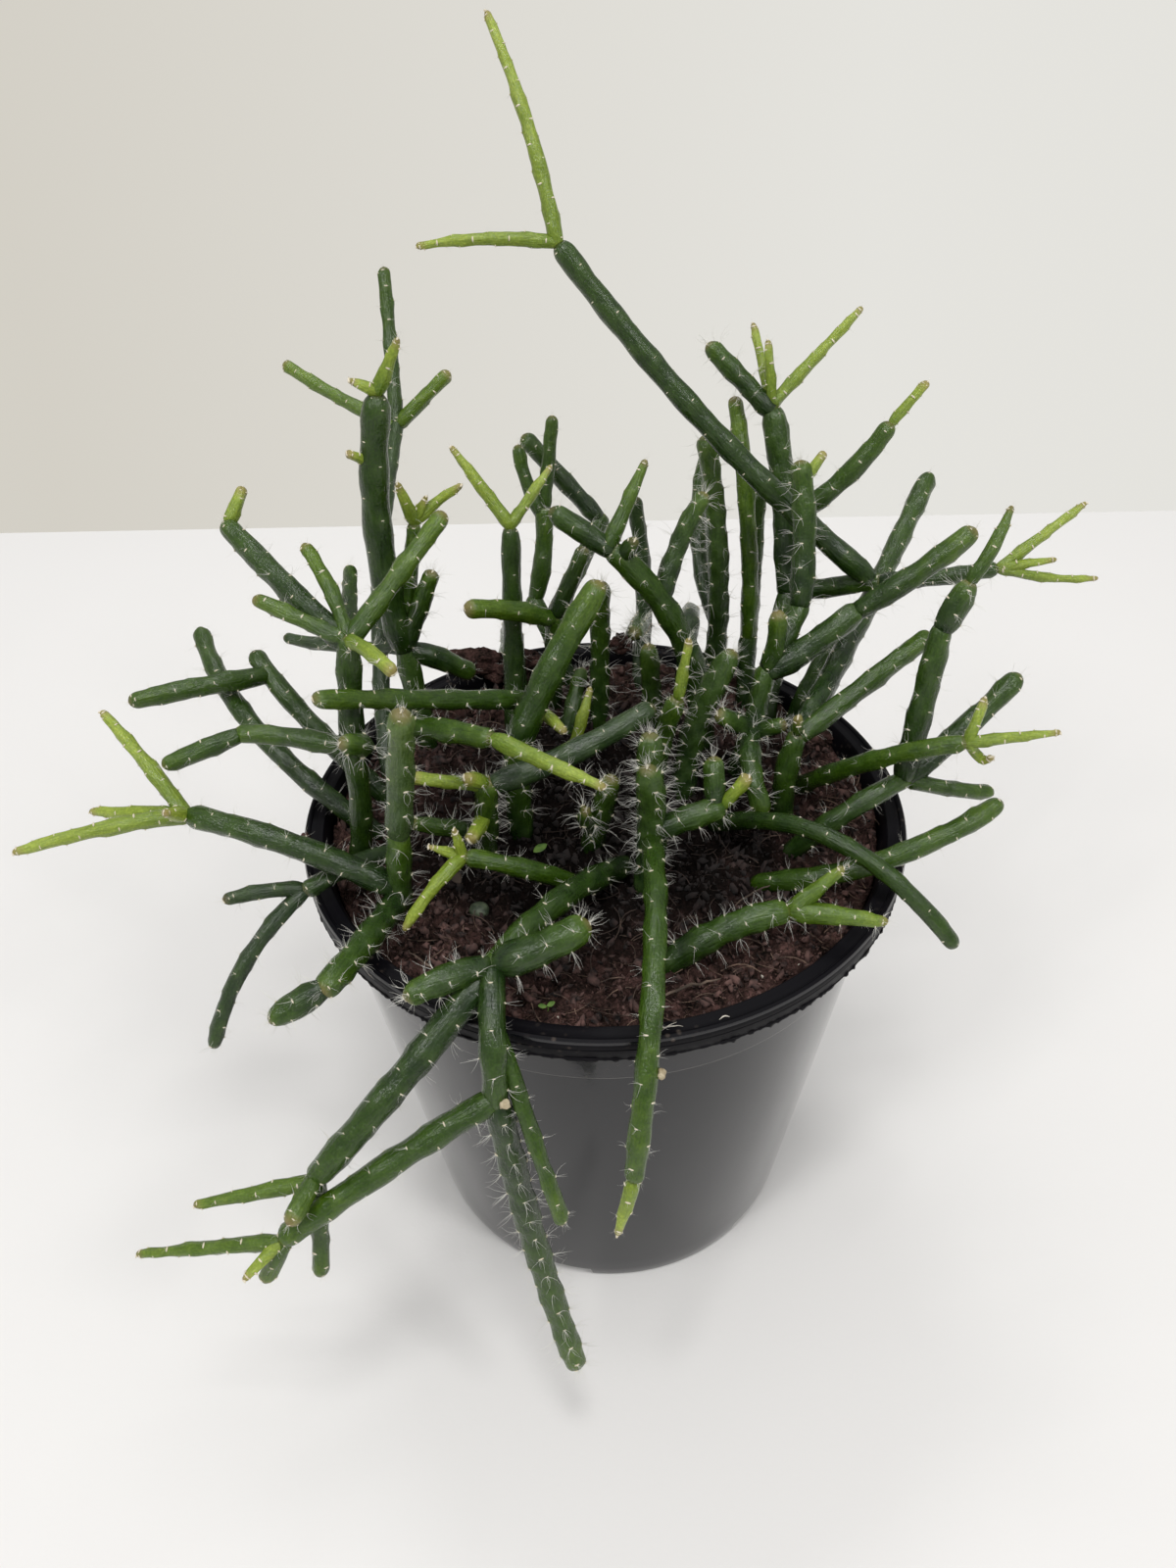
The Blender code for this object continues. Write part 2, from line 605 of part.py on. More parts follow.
def frames(line, distances):
    """A pair of cross directions at each distance, carried along without twisting."""
    centres = at_distance(line, distances)
    ahead = at_distance(line, [distance + TANGENT_REACH for distance in distances])
    behind = at_distance(line, [max(0.0, distance - TANGENT_REACH) for distance in distances])
    tangents = ahead - behind
    tangents /= np.linalg.norm(tangents, axis=1)[:, None]
    side = np.cross(tangents[0], (0.31, 0.95, 0.05))
    found = []
    for centre, tangent in zip(centres, tangents):
        side = side - tangent * side.dot(tangent)
        side = side / np.linalg.norm(side)
        found.append((centre, side, np.cross(tangent, side), tangent))
    return found


def tube(name, line, rings, sides, bristle=None, material=None):
    """A stem body. A bristle is a tall thin pyramid raised from the middle of a face."""
    axes = frames(line, [distance for distance, _ in rings])
    flat_allowance = math.pi / sides / math.sin(math.pi / sides)
    points = []
    for (centre, side, cross, _), (_, radius) in zip(axes, rings):
        corner = radius * flat_allowance
        for step in range(sides):
            angle = 2 * math.pi * step / sides
            points.append(centre + corner * (math.cos(angle) * side + math.sin(angle) * cross))
    faces = [tuple(range(sides))]
    for band in range(len(rings) - 1):
        inner = len(rings) > 4 and 1 <= band <= len(rings) - 3
        grown = inner and length_at(rings, band) > BRISTLE_BAND
        spiked = (3 * band + len(rings)) % sides if grown else None
        for step in range(sides):
            after = (step + 1) % sides
            corners = [band * sides + step, band * sides + after]
            corners += [(band + 1) * sides + after, (band + 1) * sides + step]
            if step == spiked and bristle:
                raised = raise_bristle(points, corners, axes[band], bristle)
                if raised:
                    faces += raised
                    continue
            faces.append(tuple(corners))
    points.append(line[-1])
    last = (len(rings) - 1) * sides
    for step in range(sides):
        faces.append((last + step, last + (step + 1) % sides, len(points) - 1))
    return make_object(name, points, faces, material)


def length_at(rings, band):
    return rings[band + 1][0] - rings[band][0]


def raise_bristle(points, corners, axis, is_clear):
    """Faces that replace a quad by a bristle, or nothing where it would touch a neighbour."""
    centre, _, _, tangent = axis
    square = [points[corner] for corner in corners]
    middle = sum(square) / 4
    across = square[1] - square[0]
    across = across / np.linalg.norm(across)
    normal = np.cross(across, tangent)
    if normal.dot(middle - centre) < 0:
        normal = -normal
    tip = middle + normal * BRISTLE_LENGTH + tangent * BRISTLE_LEAN
    if not is_clear(tip):
        return None
    inner = []
    for sideways, forward in ((-1, -1), (1, -1), (1, 1), (-1, 1)):
        inner.append(len(points))
        points.append(middle + BRISTLE_HALF_BASE * (across * sideways + tangent * forward))
    apex = len(points)
    points.append(tip)
    faces = []
    for step in range(4):
        after = (step + 1) % 4
        faces.append((corners[step], corners[after], inner[after], inner[step]))
        faces.append((inner[step], inner[after], apex))
    return faces


def sides_for(diameter):
    if diameter >= THICK_DIAMETER:
        return 7
    return 6 if diameter >= THIN_DIAMETER else 5


def plan_stems():
    """Every stem as node, name, centre line, diameter, tip share and whether it is rooted."""
    plan = []
    lines = {}
    tables = ((OLD_STEMS, OLD_TIP_SHARE), (YOUNG_STEMS, YOUNG_TIP_SHARE))
    for table, tip_share in tables:
        for node, stems in table.items():
            for name, start, end, bow, diameter in stems:
                root = not isinstance(start[0], str)
                if root:
                    foot = (start[0], start[1], soil_height(*start))
                elif isinstance(start, str):
                    foot = inside_end(lines[node, start], diameter)
                else:
                    parent, share = start
                    line = lines[node, parent]
                    foot = at_distance(line, [share * length_of(line)])[0]
                line = curve(foot, end, bow)
                lines[node, name] = line
                plan.append((node, name, line, diameter, tip_share, root))
    for node, (parent_node, parent, shoots) in YOUNG_SHOOTS.items():
        for number, (end, bow, diameter) in enumerate(shoots):
            line = curve(lines[parent_node, parent][-1], end, bow)
            plan.append((node, str(number), line, diameter, YOUNG_TIP_SHARE, False))
    return plan


def inside_end(line, diameter):
    """A point a little inside a stem's tip, where the next stem starts."""
    return at_distance(line, [length_of(line) - JOINT_SINK * diameter])[0]


def neighbour_test(plan, node):
    """A function that tells whether a bristle tip keeps clear of all other pieces."""
    places = []
    reaches = []
    for other, _, line, diameter, _, _ in plan:
        if other != node:
            places.append(at_distance(line, np.linspace(0, length_of(line), NEIGHBOUR_POINTS)))
            reaches += [diameter / 2 + BRISTLE_CLEARANCE] * NEIGHBOUR_POINTS
    places = np.vstack(places)
    reaches = np.array(reaches)

    def is_clear(tip):
        x, y, z = tip
        out = math.hypot(x, y)
        if out < RIM_INNER_RADIUS and z < soil_height(x, y) + BRISTLE_RIM_CLEARANCE:
            return False
        if out < RIM_RADIUS + BRISTLE_RIM_CLEARANCE and z < POT_HEIGHT + BRISTLE_RIM_CLEARANCE:
            return False
        return bool((np.linalg.norm(places - tip, axis=1) > reaches).all())

    return is_clear


def build_node(node, plan, material):
    """One body of all the stems that share a root or a joint."""
    is_clear = neighbour_test(plan, node)
    bodies = []
    for owner, _, line, diameter, tip_share, root in plan:
        if owner != node:
            continue
        if root:
            line = rooted(line)
        rings = stem_rings(line, diameter, tip_share, root)
        body = tube(node, line, rings, sides_for(diameter), is_clear, material)
        bodies.append(body)
    target = bodies[0]
    combine(target, bodies[1:], "UNION")
    target.name = node
    return target


def ball(centre, radius, material):
    build = bmesh.new()
    bmesh.ops.create_icosphere(build, subdivisions=1, radius=radius * MM)
    bmesh.ops.translate(build, verts=build.verts, vec=Vector(centre) * MM)
    mesh = bpy.data.meshes.new("hub")
    build.to_mesh(mesh)
    build.free()
    mesh.materials.append(material)
    thing = bpy.data.objects.new("hub", mesh)
    bpy.context.scene.collection.objects.link(thing)
    return thing


def build_shoots(node, plan, material):
    """Young shoots that share one joint, seated on the tip of the old stem below them."""
    parent_node, parent, _ = YOUNG_SHOOTS[node]
    is_clear = neighbour_test([stem for stem in plan if stem[0] != parent_node], node)
    bodies = []
    for owner, _, line, diameter, tip_share, _ in plan:
        if owner == node:
            rings = stem_rings(line, diameter, tip_share, False)
            bodies.append(tube(node, line, rings, sides_for(diameter), is_clear, material))
    for owner, name, line, diameter, _, _ in plan:
        if owner == parent_node and name == parent:
            bodies.append(ball(line[-1], HUB_SHARE * diameter, material))
            joint = line[-1]
    cutters = []
    for owner, _, line, diameter, tip_share, root in plan:
        if owner == parent_node and np.linalg.norm(line - joint, axis=1).min() < 0.6 * diameter:
            cutters.append(swollen(line, diameter, tip_share, root))
    target = bodies[0]
    combine(target, bodies[1:], "UNION")
    combine(target, cutters, "DIFFERENCE")
    drop_scraps(target)
    target.name = node
    return target


def drop_scraps(thing):
    """Keeps the largest body and drops loose scraps left by a cut."""
    build = bmesh.new()
    build.from_mesh(thing.data)
    left = set(build.verts)
    islands = []
    while left:
        edge = [left.pop()]
        island = set(edge)
        while edge:
            for link in edge.pop().link_edges:
                for vert in link.verts:
                    if vert not in island:
                        island.add(vert)
                        edge.append(vert)
        left -= island
        islands.append(island)
    islands.sort(key=len)
    for island in islands[:-1]:
        bmesh.ops.delete(build, geom=list(island), context="VERTS")
    build.to_mesh(thing.data)
    build.free()


def swollen(line, diameter, tip_share, root):
    """A stem made larger all round by the gap, to cut what it seats in or carries."""
    ahead = line[-1] - line[-3]
    ahead = ahead / np.linalg.norm(ahead)
    if root:
        line = rooted(line)
    rings = stem_rings(line, diameter, tip_share, root)
    rings = [(distance + GAP, radius + FACET_GAP) for distance, radius in rings]
    rings[0] = (0.0, rings[0][1])
    rings[-1] = (rings[-1][0] + GAP, rings[-1][1])
    backward = line[0] - line[1]
    backward = backward / np.linalg.norm(backward)
    line = np.vstack((line[0] + backward * GAP, line, line[-1] + ahead * WALL_GAP))
    return tube("room", line, rings, sides_for(diameter))


def main():
    clear_scene()
    old = make_material("old_stem", OLD_COLOUR, 0.42)
    young = make_material("young_stem", YOUNG_COLOUR, 0.40)
    plan = plan_stems()
    build_pot(make_material("pot_plastic", POT_COLOUR, 0.35))
    roots = [stem[2:] for stem in plan if stem[-1]]
    build_soil(make_material("peat_soil", SOIL_COLOUR, 0.95), roots)
    for node in OLD_STEMS:
        build_node(node, plan, old)
    for node in YOUNG_STEMS:
        build_node(node, plan, young)
    for node in YOUNG_SHOOTS:
        build_shoots(node, plan, young)


main()
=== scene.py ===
import math
import random

import bmesh
import bpy
import numpy as np
from mathutils import Matrix, Vector, noise


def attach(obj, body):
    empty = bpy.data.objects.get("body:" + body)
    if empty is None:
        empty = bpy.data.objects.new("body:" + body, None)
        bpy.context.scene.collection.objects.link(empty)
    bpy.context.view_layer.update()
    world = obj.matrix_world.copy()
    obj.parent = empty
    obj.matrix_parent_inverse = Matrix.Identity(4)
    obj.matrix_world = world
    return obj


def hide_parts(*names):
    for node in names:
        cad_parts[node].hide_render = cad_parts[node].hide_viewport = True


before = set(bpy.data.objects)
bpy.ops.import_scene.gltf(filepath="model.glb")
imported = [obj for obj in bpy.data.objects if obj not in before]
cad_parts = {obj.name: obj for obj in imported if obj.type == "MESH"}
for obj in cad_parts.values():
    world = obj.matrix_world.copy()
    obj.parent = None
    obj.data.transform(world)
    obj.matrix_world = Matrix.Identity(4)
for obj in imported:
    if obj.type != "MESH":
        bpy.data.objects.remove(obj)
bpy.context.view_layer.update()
mm = 0.001
fullTurn = 2 * math.pi
print("frame loaded")


# Small helpers for node trees

def connect(tree, value, socket):
    # a socket is linked, anything else is set
    if isinstance(value, bpy.types.NodeSocket):
        tree.links.new(value, socket)
    else:
        socket.default_value = value


def put(tree, kind, inputs=None, **settings):
    # a node with its settings and its sockets
    node = tree.nodes.new(kind)
    for name, value in settings.items():
        setattr(node, name, value)
    for socket, value in (inputs or {}).items():
        connect(tree, value, node.inputs[socket])
    return node


def calc(tree, operation, *values):
    return put(tree, "ShaderNodeMath", dict(enumerate(values)), operation=operation).outputs[0]


def plus(tree, first, second):
    return calc(tree, "ADD", first, second)


def minus(tree, first, second):
    return calc(tree, "SUBTRACT", first, second)


def times(tree, first, second):
    return calc(tree, "MULTIPLY", first, second)


def vectorCalc(tree, operation, *values):
    node = put(tree, "ShaderNodeVectorMath", dict(enumerate(values)), operation=operation)
    return node.outputs["Value" if operation in ("DOT_PRODUCT", "LENGTH") else "Vector"]


def scaled(tree, vector, factor):
    node = put(tree, "ShaderNodeVectorMath", {0: vector, "Scale": factor}, operation="SCALE")
    return node.outputs["Vector"]


def combined(tree, x=0.0, y=0.0, z=0.0):
    return put(tree, "ShaderNodeCombineXYZ", {"X": x, "Y": y, "Z": z}).outputs["Vector"]


def mapped(tree, value, low, high, least=0.0):
    # a share from least to one between two limits
    node = put(tree, "ShaderNodeMapRange", {"Value": value, "From Min": low, "From Max": high,
                                            "To Min": least})
    return node.outputs["Result"]


def cloudy(tree, place, scale, detail, output="Fac"):
    node = put(tree, "ShaderNodeTexNoise", {"Vector": place, "Scale": scale, "Detail": detail})
    return node.outputs[output]


def named(tree, name, kind="FLOAT"):
    node = put(tree, "GeometryNodeInputNamedAttribute", {"Name": name}, data_type=kind)
    return node.outputs["Attribute"]


def stored(tree, geometry, name, value, kind="FLOAT"):
    node = put(tree, "GeometryNodeStoreNamedAttribute",
               {"Geometry": geometry, "Name": name, "Value": value}, data_type=kind)
    return node.outputs["Geometry"]


def swept(tree, curve, sides, thickness):
    # a tube along a curve, closed at both ends
    section = put(tree, "GeometryNodeCurvePrimitiveCircle", {"Resolution": sides, "Radius": 1.0})
    tube = put(tree, "GeometryNodeCurveToMesh",
               {"Curve": curve, "Profile Curve": section.outputs["Curve"],
                "Scale": thickness, "Fill Caps": True})
    return tube.outputs["Mesh"]


def arc(tree, resolution, start, middle, end):
    node = put(tree, "GeometryNodeCurveQuadraticBezier",
               {"Resolution": resolution, "Start": start, "Middle": middle, "End": end})
    return node.outputs["Curve"]


def painted(tree, geometry, material, smooth=True):
    # a real mesh with its shading and its material
    real = put(tree, "GeometryNodeRealizeInstances", {"Geometry": geometry}).outputs["Geometry"]
    if smooth:
        real = put(tree, "GeometryNodeSetShadeSmooth", {"Geometry": real}).outputs["Geometry"]
    node = put(tree, "GeometryNodeSetMaterial", {"Geometry": real, "Material": material})
    return node.outputs["Geometry"]


def newTree(name, kind, inputs, outputs):
    tree = bpy.data.node_groups.new(name, kind)
    for label, socketType, value in inputs:
        socket = tree.interface.new_socket(label, in_out="INPUT", socket_type="NodeSocket" + socketType)
        if value is not None:
            socket.default_value = value
    for label, socketType in outputs:
        tree.interface.new_socket(label, in_out="OUTPUT", socket_type="NodeSocket" + socketType)
    return tree, tree.nodes.new("NodeGroupInput").outputs, tree.nodes.new("NodeGroupOutput").inputs


def geometryTree(name, inputs):
    inputs = [("Geometry", "Geometry", None)] + inputs
    return newTree(name, "GeometryNodeTree", inputs, [("Geometry", "Geometry")])


# Small helpers for meshes and objects

def placed(name, data):
    piece = bpy.data.objects.new(name, data)
    bpy.context.scene.collection.objects.link(piece)
    return piece


def evaluatedMesh(piece):
    bpy.context.view_layer.update()
    graph = bpy.context.evaluated_depsgraph_get()
    return bpy.data.meshes.new_from_object(piece.evaluated_get(graph))


def finishMesh(name, base, tree, values, keep=()):
    # runs the tree on the base mesh and leaves a plain mesh object without the working values
    working = {a.name for a in base.attributes if not a.is_required} - set(keep)
    maker = placed(name + "_base", base)
    modifier = maker.modifiers.new("Grow", "NODES")
    modifier.node_group = tree
    for item in tree.interface.items_tree:
        if item.item_type == "SOCKET" and item.in_out == "INPUT" and item.name in values:
            modifier[item.identifier] = values[item.name]
    mesh = evaluatedMesh(maker)
    mesh.name = name
    bpy.data.objects.remove(maker)
    for label in working:
        if label in mesh.attributes:
            mesh.attributes.remove(mesh.attributes[label])
    return placed(name, mesh)


def meshObject(name, points, faces, material, smooth=True):
    mesh = bpy.data.meshes.new(name)
    mesh.from_pydata([tuple(p) for p in points], [], faces)
    build = bmesh.new()
    build.from_mesh(mesh)
    bmesh.ops.recalc_face_normals(build, faces=build.faces)
    build.to_mesh(mesh)
    build.free()
    mesh.polygons.foreach_set("use_smooth", [smooth] * len(mesh.polygons))
    mesh.materials.append(material)
    return placed(name, mesh)


# Shared shader groups

def buildSpeckle():
    # fine pale grains and a slower cloud
    tree, given, out = newTree("fineSpeckle", "ShaderNodeTree", [
        ("Vector", "Vector", None),
        ("Grain Scale", "Float", 3000.0),
        ("Cloud Scale", "Float", 300.0),
    ], [("Grain", "Float"), ("Cloud", "Float")])
    grain = cloudy(tree, given["Vector"], given["Grain Scale"], 2.0)
    cloud = cloudy(tree, given["Vector"], given["Cloud Scale"], 4.0)
    tree.links.new(mapped(tree, grain, 0.42, 0.72), out["Grain"])
    tree.links.new(cloud, out["Cloud"])
    return tree


def buildDust():
    # specks of dust and soil that gather where a slow cloud is high
    tree, given, out = newTree("dustSpecks", "ShaderNodeTree", [
        ("Vector", "Vector", None),
        ("Scale", "Float", 500.0),
        ("Amount", "Float", 0.3),
    ], [("Mask", "Float")])
    cells = put(tree, "ShaderNodeTexVoronoi", {"Vector": given["Vector"], "Scale": given["Scale"]})
    cloud = cloudy(tree, given["Vector"], 90.0, 3.0)
    dot = mapped(tree, cells.outputs["Distance"], 0.32, 0.12)
    edge = minus(tree, 1.0, given["Amount"])
    patch = mapped(tree, cloud, edge, plus(tree, edge, 0.15))
    tree.links.new(times(tree, dot, patch), out["Mask"])
    return tree


def buildDamp():
    # painted shade: dark among the stem feet, fading out towards the rim, with an uneven edge
    tree, given, out = newTree("dampMiddle", "ShaderNodeTree", [
        ("Vector", "Vector", None),
        ("Wet Radius", "Float", 0.029),
        ("Dry Radius", "Float", 0.050),
    ], [("Dryness", "Float")])
    flat = vectorCalc(tree, "MULTIPLY", given["Vector"], (1.0, 1.0, 0.0))
    cloud = cloudy(tree, given["Vector"], 90.0, 3.0)
    wander = times(tree, minus(tree, cloud, 0.5), 0.03)
    reach = plus(tree, vectorCalc(tree, "LENGTH", flat), wander)
    share = mapped(tree, reach, given["Wet Radius"], given["Dry Radius"], 0.05)
    tree.links.new(share, out["Dryness"])
    return tree


speckleGroup = buildSpeckle()
dustGroup = buildDust()
paintedShadeGroup = buildDamp()


def newMaterial(name, uniform):
    # a material with its tree, shader and object coordinates; uniform values go on the shader itself
    material = bpy.data.materials.new(name)
    material.use_nodes = True
    tree = material.node_tree
    shader = tree.nodes["Principled BSDF"]
    for socket, value in uniform.items():
        shader.inputs[socket].default_value = value
    place = put(tree, "ShaderNodeTexCoord").outputs["Object"]
    return material, tree, shader, place


def ramp(tree, factor, stops):
    node = put(tree, "ShaderNodeValToRGB", {"Fac": factor})
    while len(node.color_ramp.elements) < len(stops):
        node.color_ramp.elements.new(0.5)
    for element, (where, colour) in zip(node.color_ramp.elements, stops):
        element.position = where
        element.color = (*colour, 1.0)
    return node.outputs["Color"]


def blendColour(tree, factor, first, second, how="MIX"):
    node = put(tree, "ShaderNodeMix", data_type="RGBA", blend_type=how)
    for socket, value in zip((node.inputs[0], node.inputs[6], node.inputs[7]), (factor, first, second)):
        connect(tree, (*value, 1.0) if isinstance(value, tuple) else value, socket)
    return node.outputs[2]


def attribute(tree, name, output="Fac"):
    return put(tree, "ShaderNodeAttribute", attribute_name=name).outputs[output]


def placeGroup(tree, group, place, values=None):
    return put(tree, "ShaderNodeGroup", {"Vector": place, **(values or {})}, node_tree=group).outputs


def speckled(tree, place, grain, cloud):
    return placeGroup(tree, speckleGroup, place, {"Grain Scale": grain, "Cloud Scale": cloud})


def bump(tree, height, strength, distance, normal=None):
    inputs = {"Height": height, "Strength": strength, "Distance": distance}
    if normal:
        inputs["Normal"] = normal
    return put(tree, "ShaderNodeBump", inputs).outputs["Normal"]


def dress(tree, shader, colour, normal):
    tree.links.new(colour, shader.inputs["Base Color"])
    tree.links.new(normal, shader.inputs["Normal"])


# Pot, in mm

potValues = {
    "height": 106.8,
    "baseRadius": 42.5,
    "wallSpread": 13.7,
    "wallHeight": 102.0,
    "wall": 1.2,
    "floor": 1.8,
    "rimRadius": 60.0,
    "rimInner": 56.0,
    "skirtRadius": 59.6,
    "underLip": 1.3,
    "funnel": 2.0,
    "seamHeight": 90.3,
    "seamStep": 0.3,
    "sides": 256,
    "sharpAngle": 38.0,
    # short runs of the outline, as steps out of a radius and up from a height
    "foot": ((-3.5, 0), (-1.0, 0.15), (-0.25, 0.45), (0, 1.2)),
    "skirtFoot": ((-1.0, 0.1), (-0.75, 0), (-0.1, 0), (0.02, 0.2)),
    "skirtTop": ((0.1, -2.6), (-0.15, -2.35), (-0.1, -2.1)),
    "lip": ((-0.02, -1.9), (0, -0.7), (-0.25, -0.2), (-0.75, 0),
            (-1.15, -0.12), (-1.35, -0.42), (-2.0, -0.5), (-2.6, -0.42)),
    "lipInside": ((0.9, -0.3), (0.3, -0.32), (0, -0.6)),
    "ridgeBand": 0.5,
    "drains": 5,
    "drainWidth": 19.0,
    "drainNarrowing": 2.0,
    "drainHeight": 3.2,
    "drainDepth": 7.0,
    "drainTurn": -39.0,
    # the ragged edge under the lip
    "flashSteps": 720,
    "flashHeight": 0.55,
    "flashWaves": 22,
    "flashTeeth": 70,
    "toothSize": 0.35,
    "seed": 7,
    # colours on the wall above the seam, of the painted highlight along the seam, and of the dust
    "bandColour": (0.075, 0.070, 0.072),
    "paintedSeamHighlight": (0.20, 0.19, 0.18),
    "dustColour": (0.20, 0.16, 0.13),
    # dark and light colour, roughness, amount of dust, paler band, and what is even all over
    "finishes": {
        "potWall": ((0.004, 0.004, 0.0055), (0.008, 0.0085, 0.0115), 0.06, 0.12, 0.12,
                    {"Specular IOR Level": 0.21, "Coat Weight": 0.6, "Coat IOR": 1.15,
                     "Coat Roughness": 0.04}),
        "potLip": ((0.002, 0.002, 0.003), (0.005, 0.004, 0.006), 0.42, 0.30, 0.0,
                   {"Specular IOR Level": 0.10}),
        "potRidge": ((0.004, 0.004, 0.006), (0.006, 0.006, 0.008), 0.12, 0.4, 0.0,
                     {"Specular IOR Level": 0.6}),
    },
}


def wallRadius(height):
    return potValues["baseRadius"] + potValues["wallSpread"] * height / potValues["wallHeight"]


def outlineRun(name, radius, height):
    return [(radius + out, height + up) for out, up in potValues[name]]


def potProfile():
    v = potValues
    top = v["height"]
    seam = v["seamHeight"]
    under = top - v["underLip"]
    funnel = top - v["funnel"]
    skirt = v["skirtRadius"]
    line = [(0, 0)] + outlineRun("foot", v["baseRadius"], 0)
    line += [(wallRadius(h), h) for h in np.linspace(4, seam - 0.5, 22)]
    line += [(wallRadius(seam), seam), (wallRadius(seam) + v["seamStep"], seam + 0.25)]
    line += [(wallRadius(under) + v["seamStep"], under), (skirt - 1.0, under)]
    line += outlineRun("skirtFoot", skirt, v["wallHeight"])
    line += outlineRun("skirtTop", skirt, top)
    line += outlineRun("lip", v["rimRadius"], top)
    line += outlineRun("lipInside", v["rimInner"], top)
    line += [(wallRadius(funnel) - v["wall"] + 0.1, funnel)]
    line += [(wallRadius(funnel - 0.6) - v["wall"], funnel - 0.6)]
    line += [(wallRadius(h) - v["wall"], h) for h in np.linspace(funnel - 4, v["floor"] + 1, 8)]
    line += [(wallRadius(v["floor"]) - v["wall"] - 0.6, v["floor"]), (0, v["floor"])]
    return line


def turned(profile, sides):
    # points in metres and faces of a closed line of radius and height in mm
    points, rings, faces = [], [], []
    for radius, height in profile:
        count = sides if radius else 1
        rings.append(list(range(len(points), len(points) + count)))
        for step in range(count):
            angle = fullTurn * step / sides
            points.append((radius * mm * math.cos(angle), radius * mm * math.sin(angle), height * mm))
    for lower, upper in zip(rings, rings[1:]):
        for step in range(sides):
            after = (step + 1) % sides
            corners = [lower[step % len(lower)], lower[after % len(lower)],
                       upper[after % len(upper)], upper[step % len(upper)]]
            faces.append(tuple(dict.fromkeys(corners)))
    return points, faces


def buildPotMaterial(name):
    # charcoal plastic with a little dust and soil, and a painted highlight along the seam
    v = potValues
    dark, light, roughness, dusting, paler, uniform = v["finishes"][name]
    material, tree, shader, place = newMaterial(name, uniform)
    height = put(tree, "ShaderNodeSeparateXYZ", {"Vector": place}).outputs["Z"]
    seam = calc(tree, "COMPARE", height, (v["seamHeight"] + 0.1) * mm, 0.28 * mm)
    band = calc(tree, "GREATER_THAN", height, v["seamHeight"] * mm)
    spots = speckled(tree, place, 2600.0, 45.0)
    dust = placeGroup(tree, dustGroup, place, {"Scale": 620.0, "Amount": 0.46})
    stretch = put(tree, "ShaderNodeMapping", {"Vector": place, "Scale": (900.0, 900.0, 30.0)})
    scuff = cloudy(tree, stretch.outputs["Vector"], 1.0, 3.0)
    colour = blendColour(tree, spots["Cloud"], dark, light)
    colour = blendColour(tree, times(tree, band, paler), colour, v["bandColour"])
    # painted highlight: a thin light line along the seam
    colour = blendColour(tree, times(tree, seam, 0.7), colour, v["paintedSeamHighlight"])
    dusty = times(tree, dust["Mask"], dusting)
    colour = blendColour(tree, dusty, colour, v["dustColour"])
    rough = plus(tree, roughness, times(tree, scuff, 0.10))
    tree.links.new(plus(tree, rough, times(tree, dusty, 0.4)), shader.inputs["Roughness"])
    relief = plus(tree, times(tree, scuff, 0.5), spots["Grain"])
    dress(tree, shader, colour, bump(tree, relief, 0.10, 0.04 * mm))
    return material


potMaterials = {name: buildPotMaterial(name) for name in potValues["finishes"]}


def buildPot():
    v = potValues
    points, faces = turned(potProfile(), v["sides"])
    pot = meshObject("nurseryPot", points, faces, potMaterials["potWall"])
    pot.data.set_sharp_from_angle(angle=math.radians(v["sharpAngle"]))
    sides = [(0, 1, 3, 2), (4, 6, 7, 5), (0, 4, 5, 1), (2, 3, 7, 6), (0, 2, 6, 4), (1, 5, 7, 3)]
    for step in range(v["drains"]):
        turn = Matrix.Rotation(math.radians(v["drainTurn"] + 360 * step / v["drains"]), 4, "Z")
        corners = []
        for reach in (v["baseRadius"] - v["drainDepth"], v["baseRadius"] + v["drainDepth"]):
            for side in (-0.5, 0.5):
                for height in (-v["drainHeight"], v["drainHeight"]):
                    narrowing = v["drainNarrowing"] if height > 0 else 0.0
                    corner = Vector((reach, side * (v["drainWidth"] - narrowing), height))
                    corners.append(turn @ corner * mm)
        cutter = meshObject("drainCutter", corners, sides, potMaterials["potWall"], False)
        cut = pot.modifiers.new("Drain", "BOOLEAN")
        cut.operation = "DIFFERENCE"
        cut.object = cutter
        mesh = evaluatedMesh(pot)
        pot.modifiers.remove(cut)
        pot.data = mesh
        bpy.data.objects.remove(cutter)
    pot.data.name = "nurseryPot"
    pot.data.materials.append(potMaterials["potLip"])
    pot.data.materials.append(potMaterials["potRidge"])
    for face in pot.data.polygons:
        reach, height = face.center.xy.length / mm, face.center.z / mm
        if height > v["wallHeight"] - 0.1 and reach > v["rimInner"] - 1.5:
            onRidge = reach > v["rimRadius"] - v["ridgeBand"] and height > v["height"] - v["ridgeBand"]
            face.material_index = 2 if onRidge else 1
    return pot


def buildFlash():
    # the ragged edge of thin plastic and dirt that hangs under the lip
    v = potValues
    random.seed(v["seed"])
    points, faces = [], []
    steps, skirt, foot = v["flashSteps"], v["skirtRadius"], v["wallHeight"]
    for step in range(steps):
        angle = fullTurn * step / steps
        spot = Vector((math.cos(angle), math.sin(angle), 0))
        ragged = max(0.0, noise.fractal(spot * v["flashWaves"] + Vector((3, 1, 5)), 0.6, 2.0, 4))
        tooth = max(0.0, noise.noise(spot * v["flashTeeth"])) * 1.1 + random.uniform(0, 0.18)
        low = foot - (v["flashHeight"] * (0.45 + ragged) + v["toothSize"] * tooth)
        reach = skirt + 0.05 + v["toothSize"] * tooth + 0.15 * ragged
        section = ((skirt - 0.7, foot + 0.3), (reach - 0.05, foot + 0.3),
                   (reach, low + 0.15), (reach - 0.3, low), (skirt - 0.7, low + 0.2))
        for radius, height in section:
            points.append(spot * radius * mm + Vector((0, 0, height * mm)))
    corners = len(section)
    for step in range(steps):
        here, there = corners * step, corners * ((step + 1) % steps)
        for side in range(corners):
            after = (side + 1) % corners
            faces.append((here + side, here + after, there + after, there + side))
    return meshObject("lipFlash", points, faces, potMaterials["potLip"])


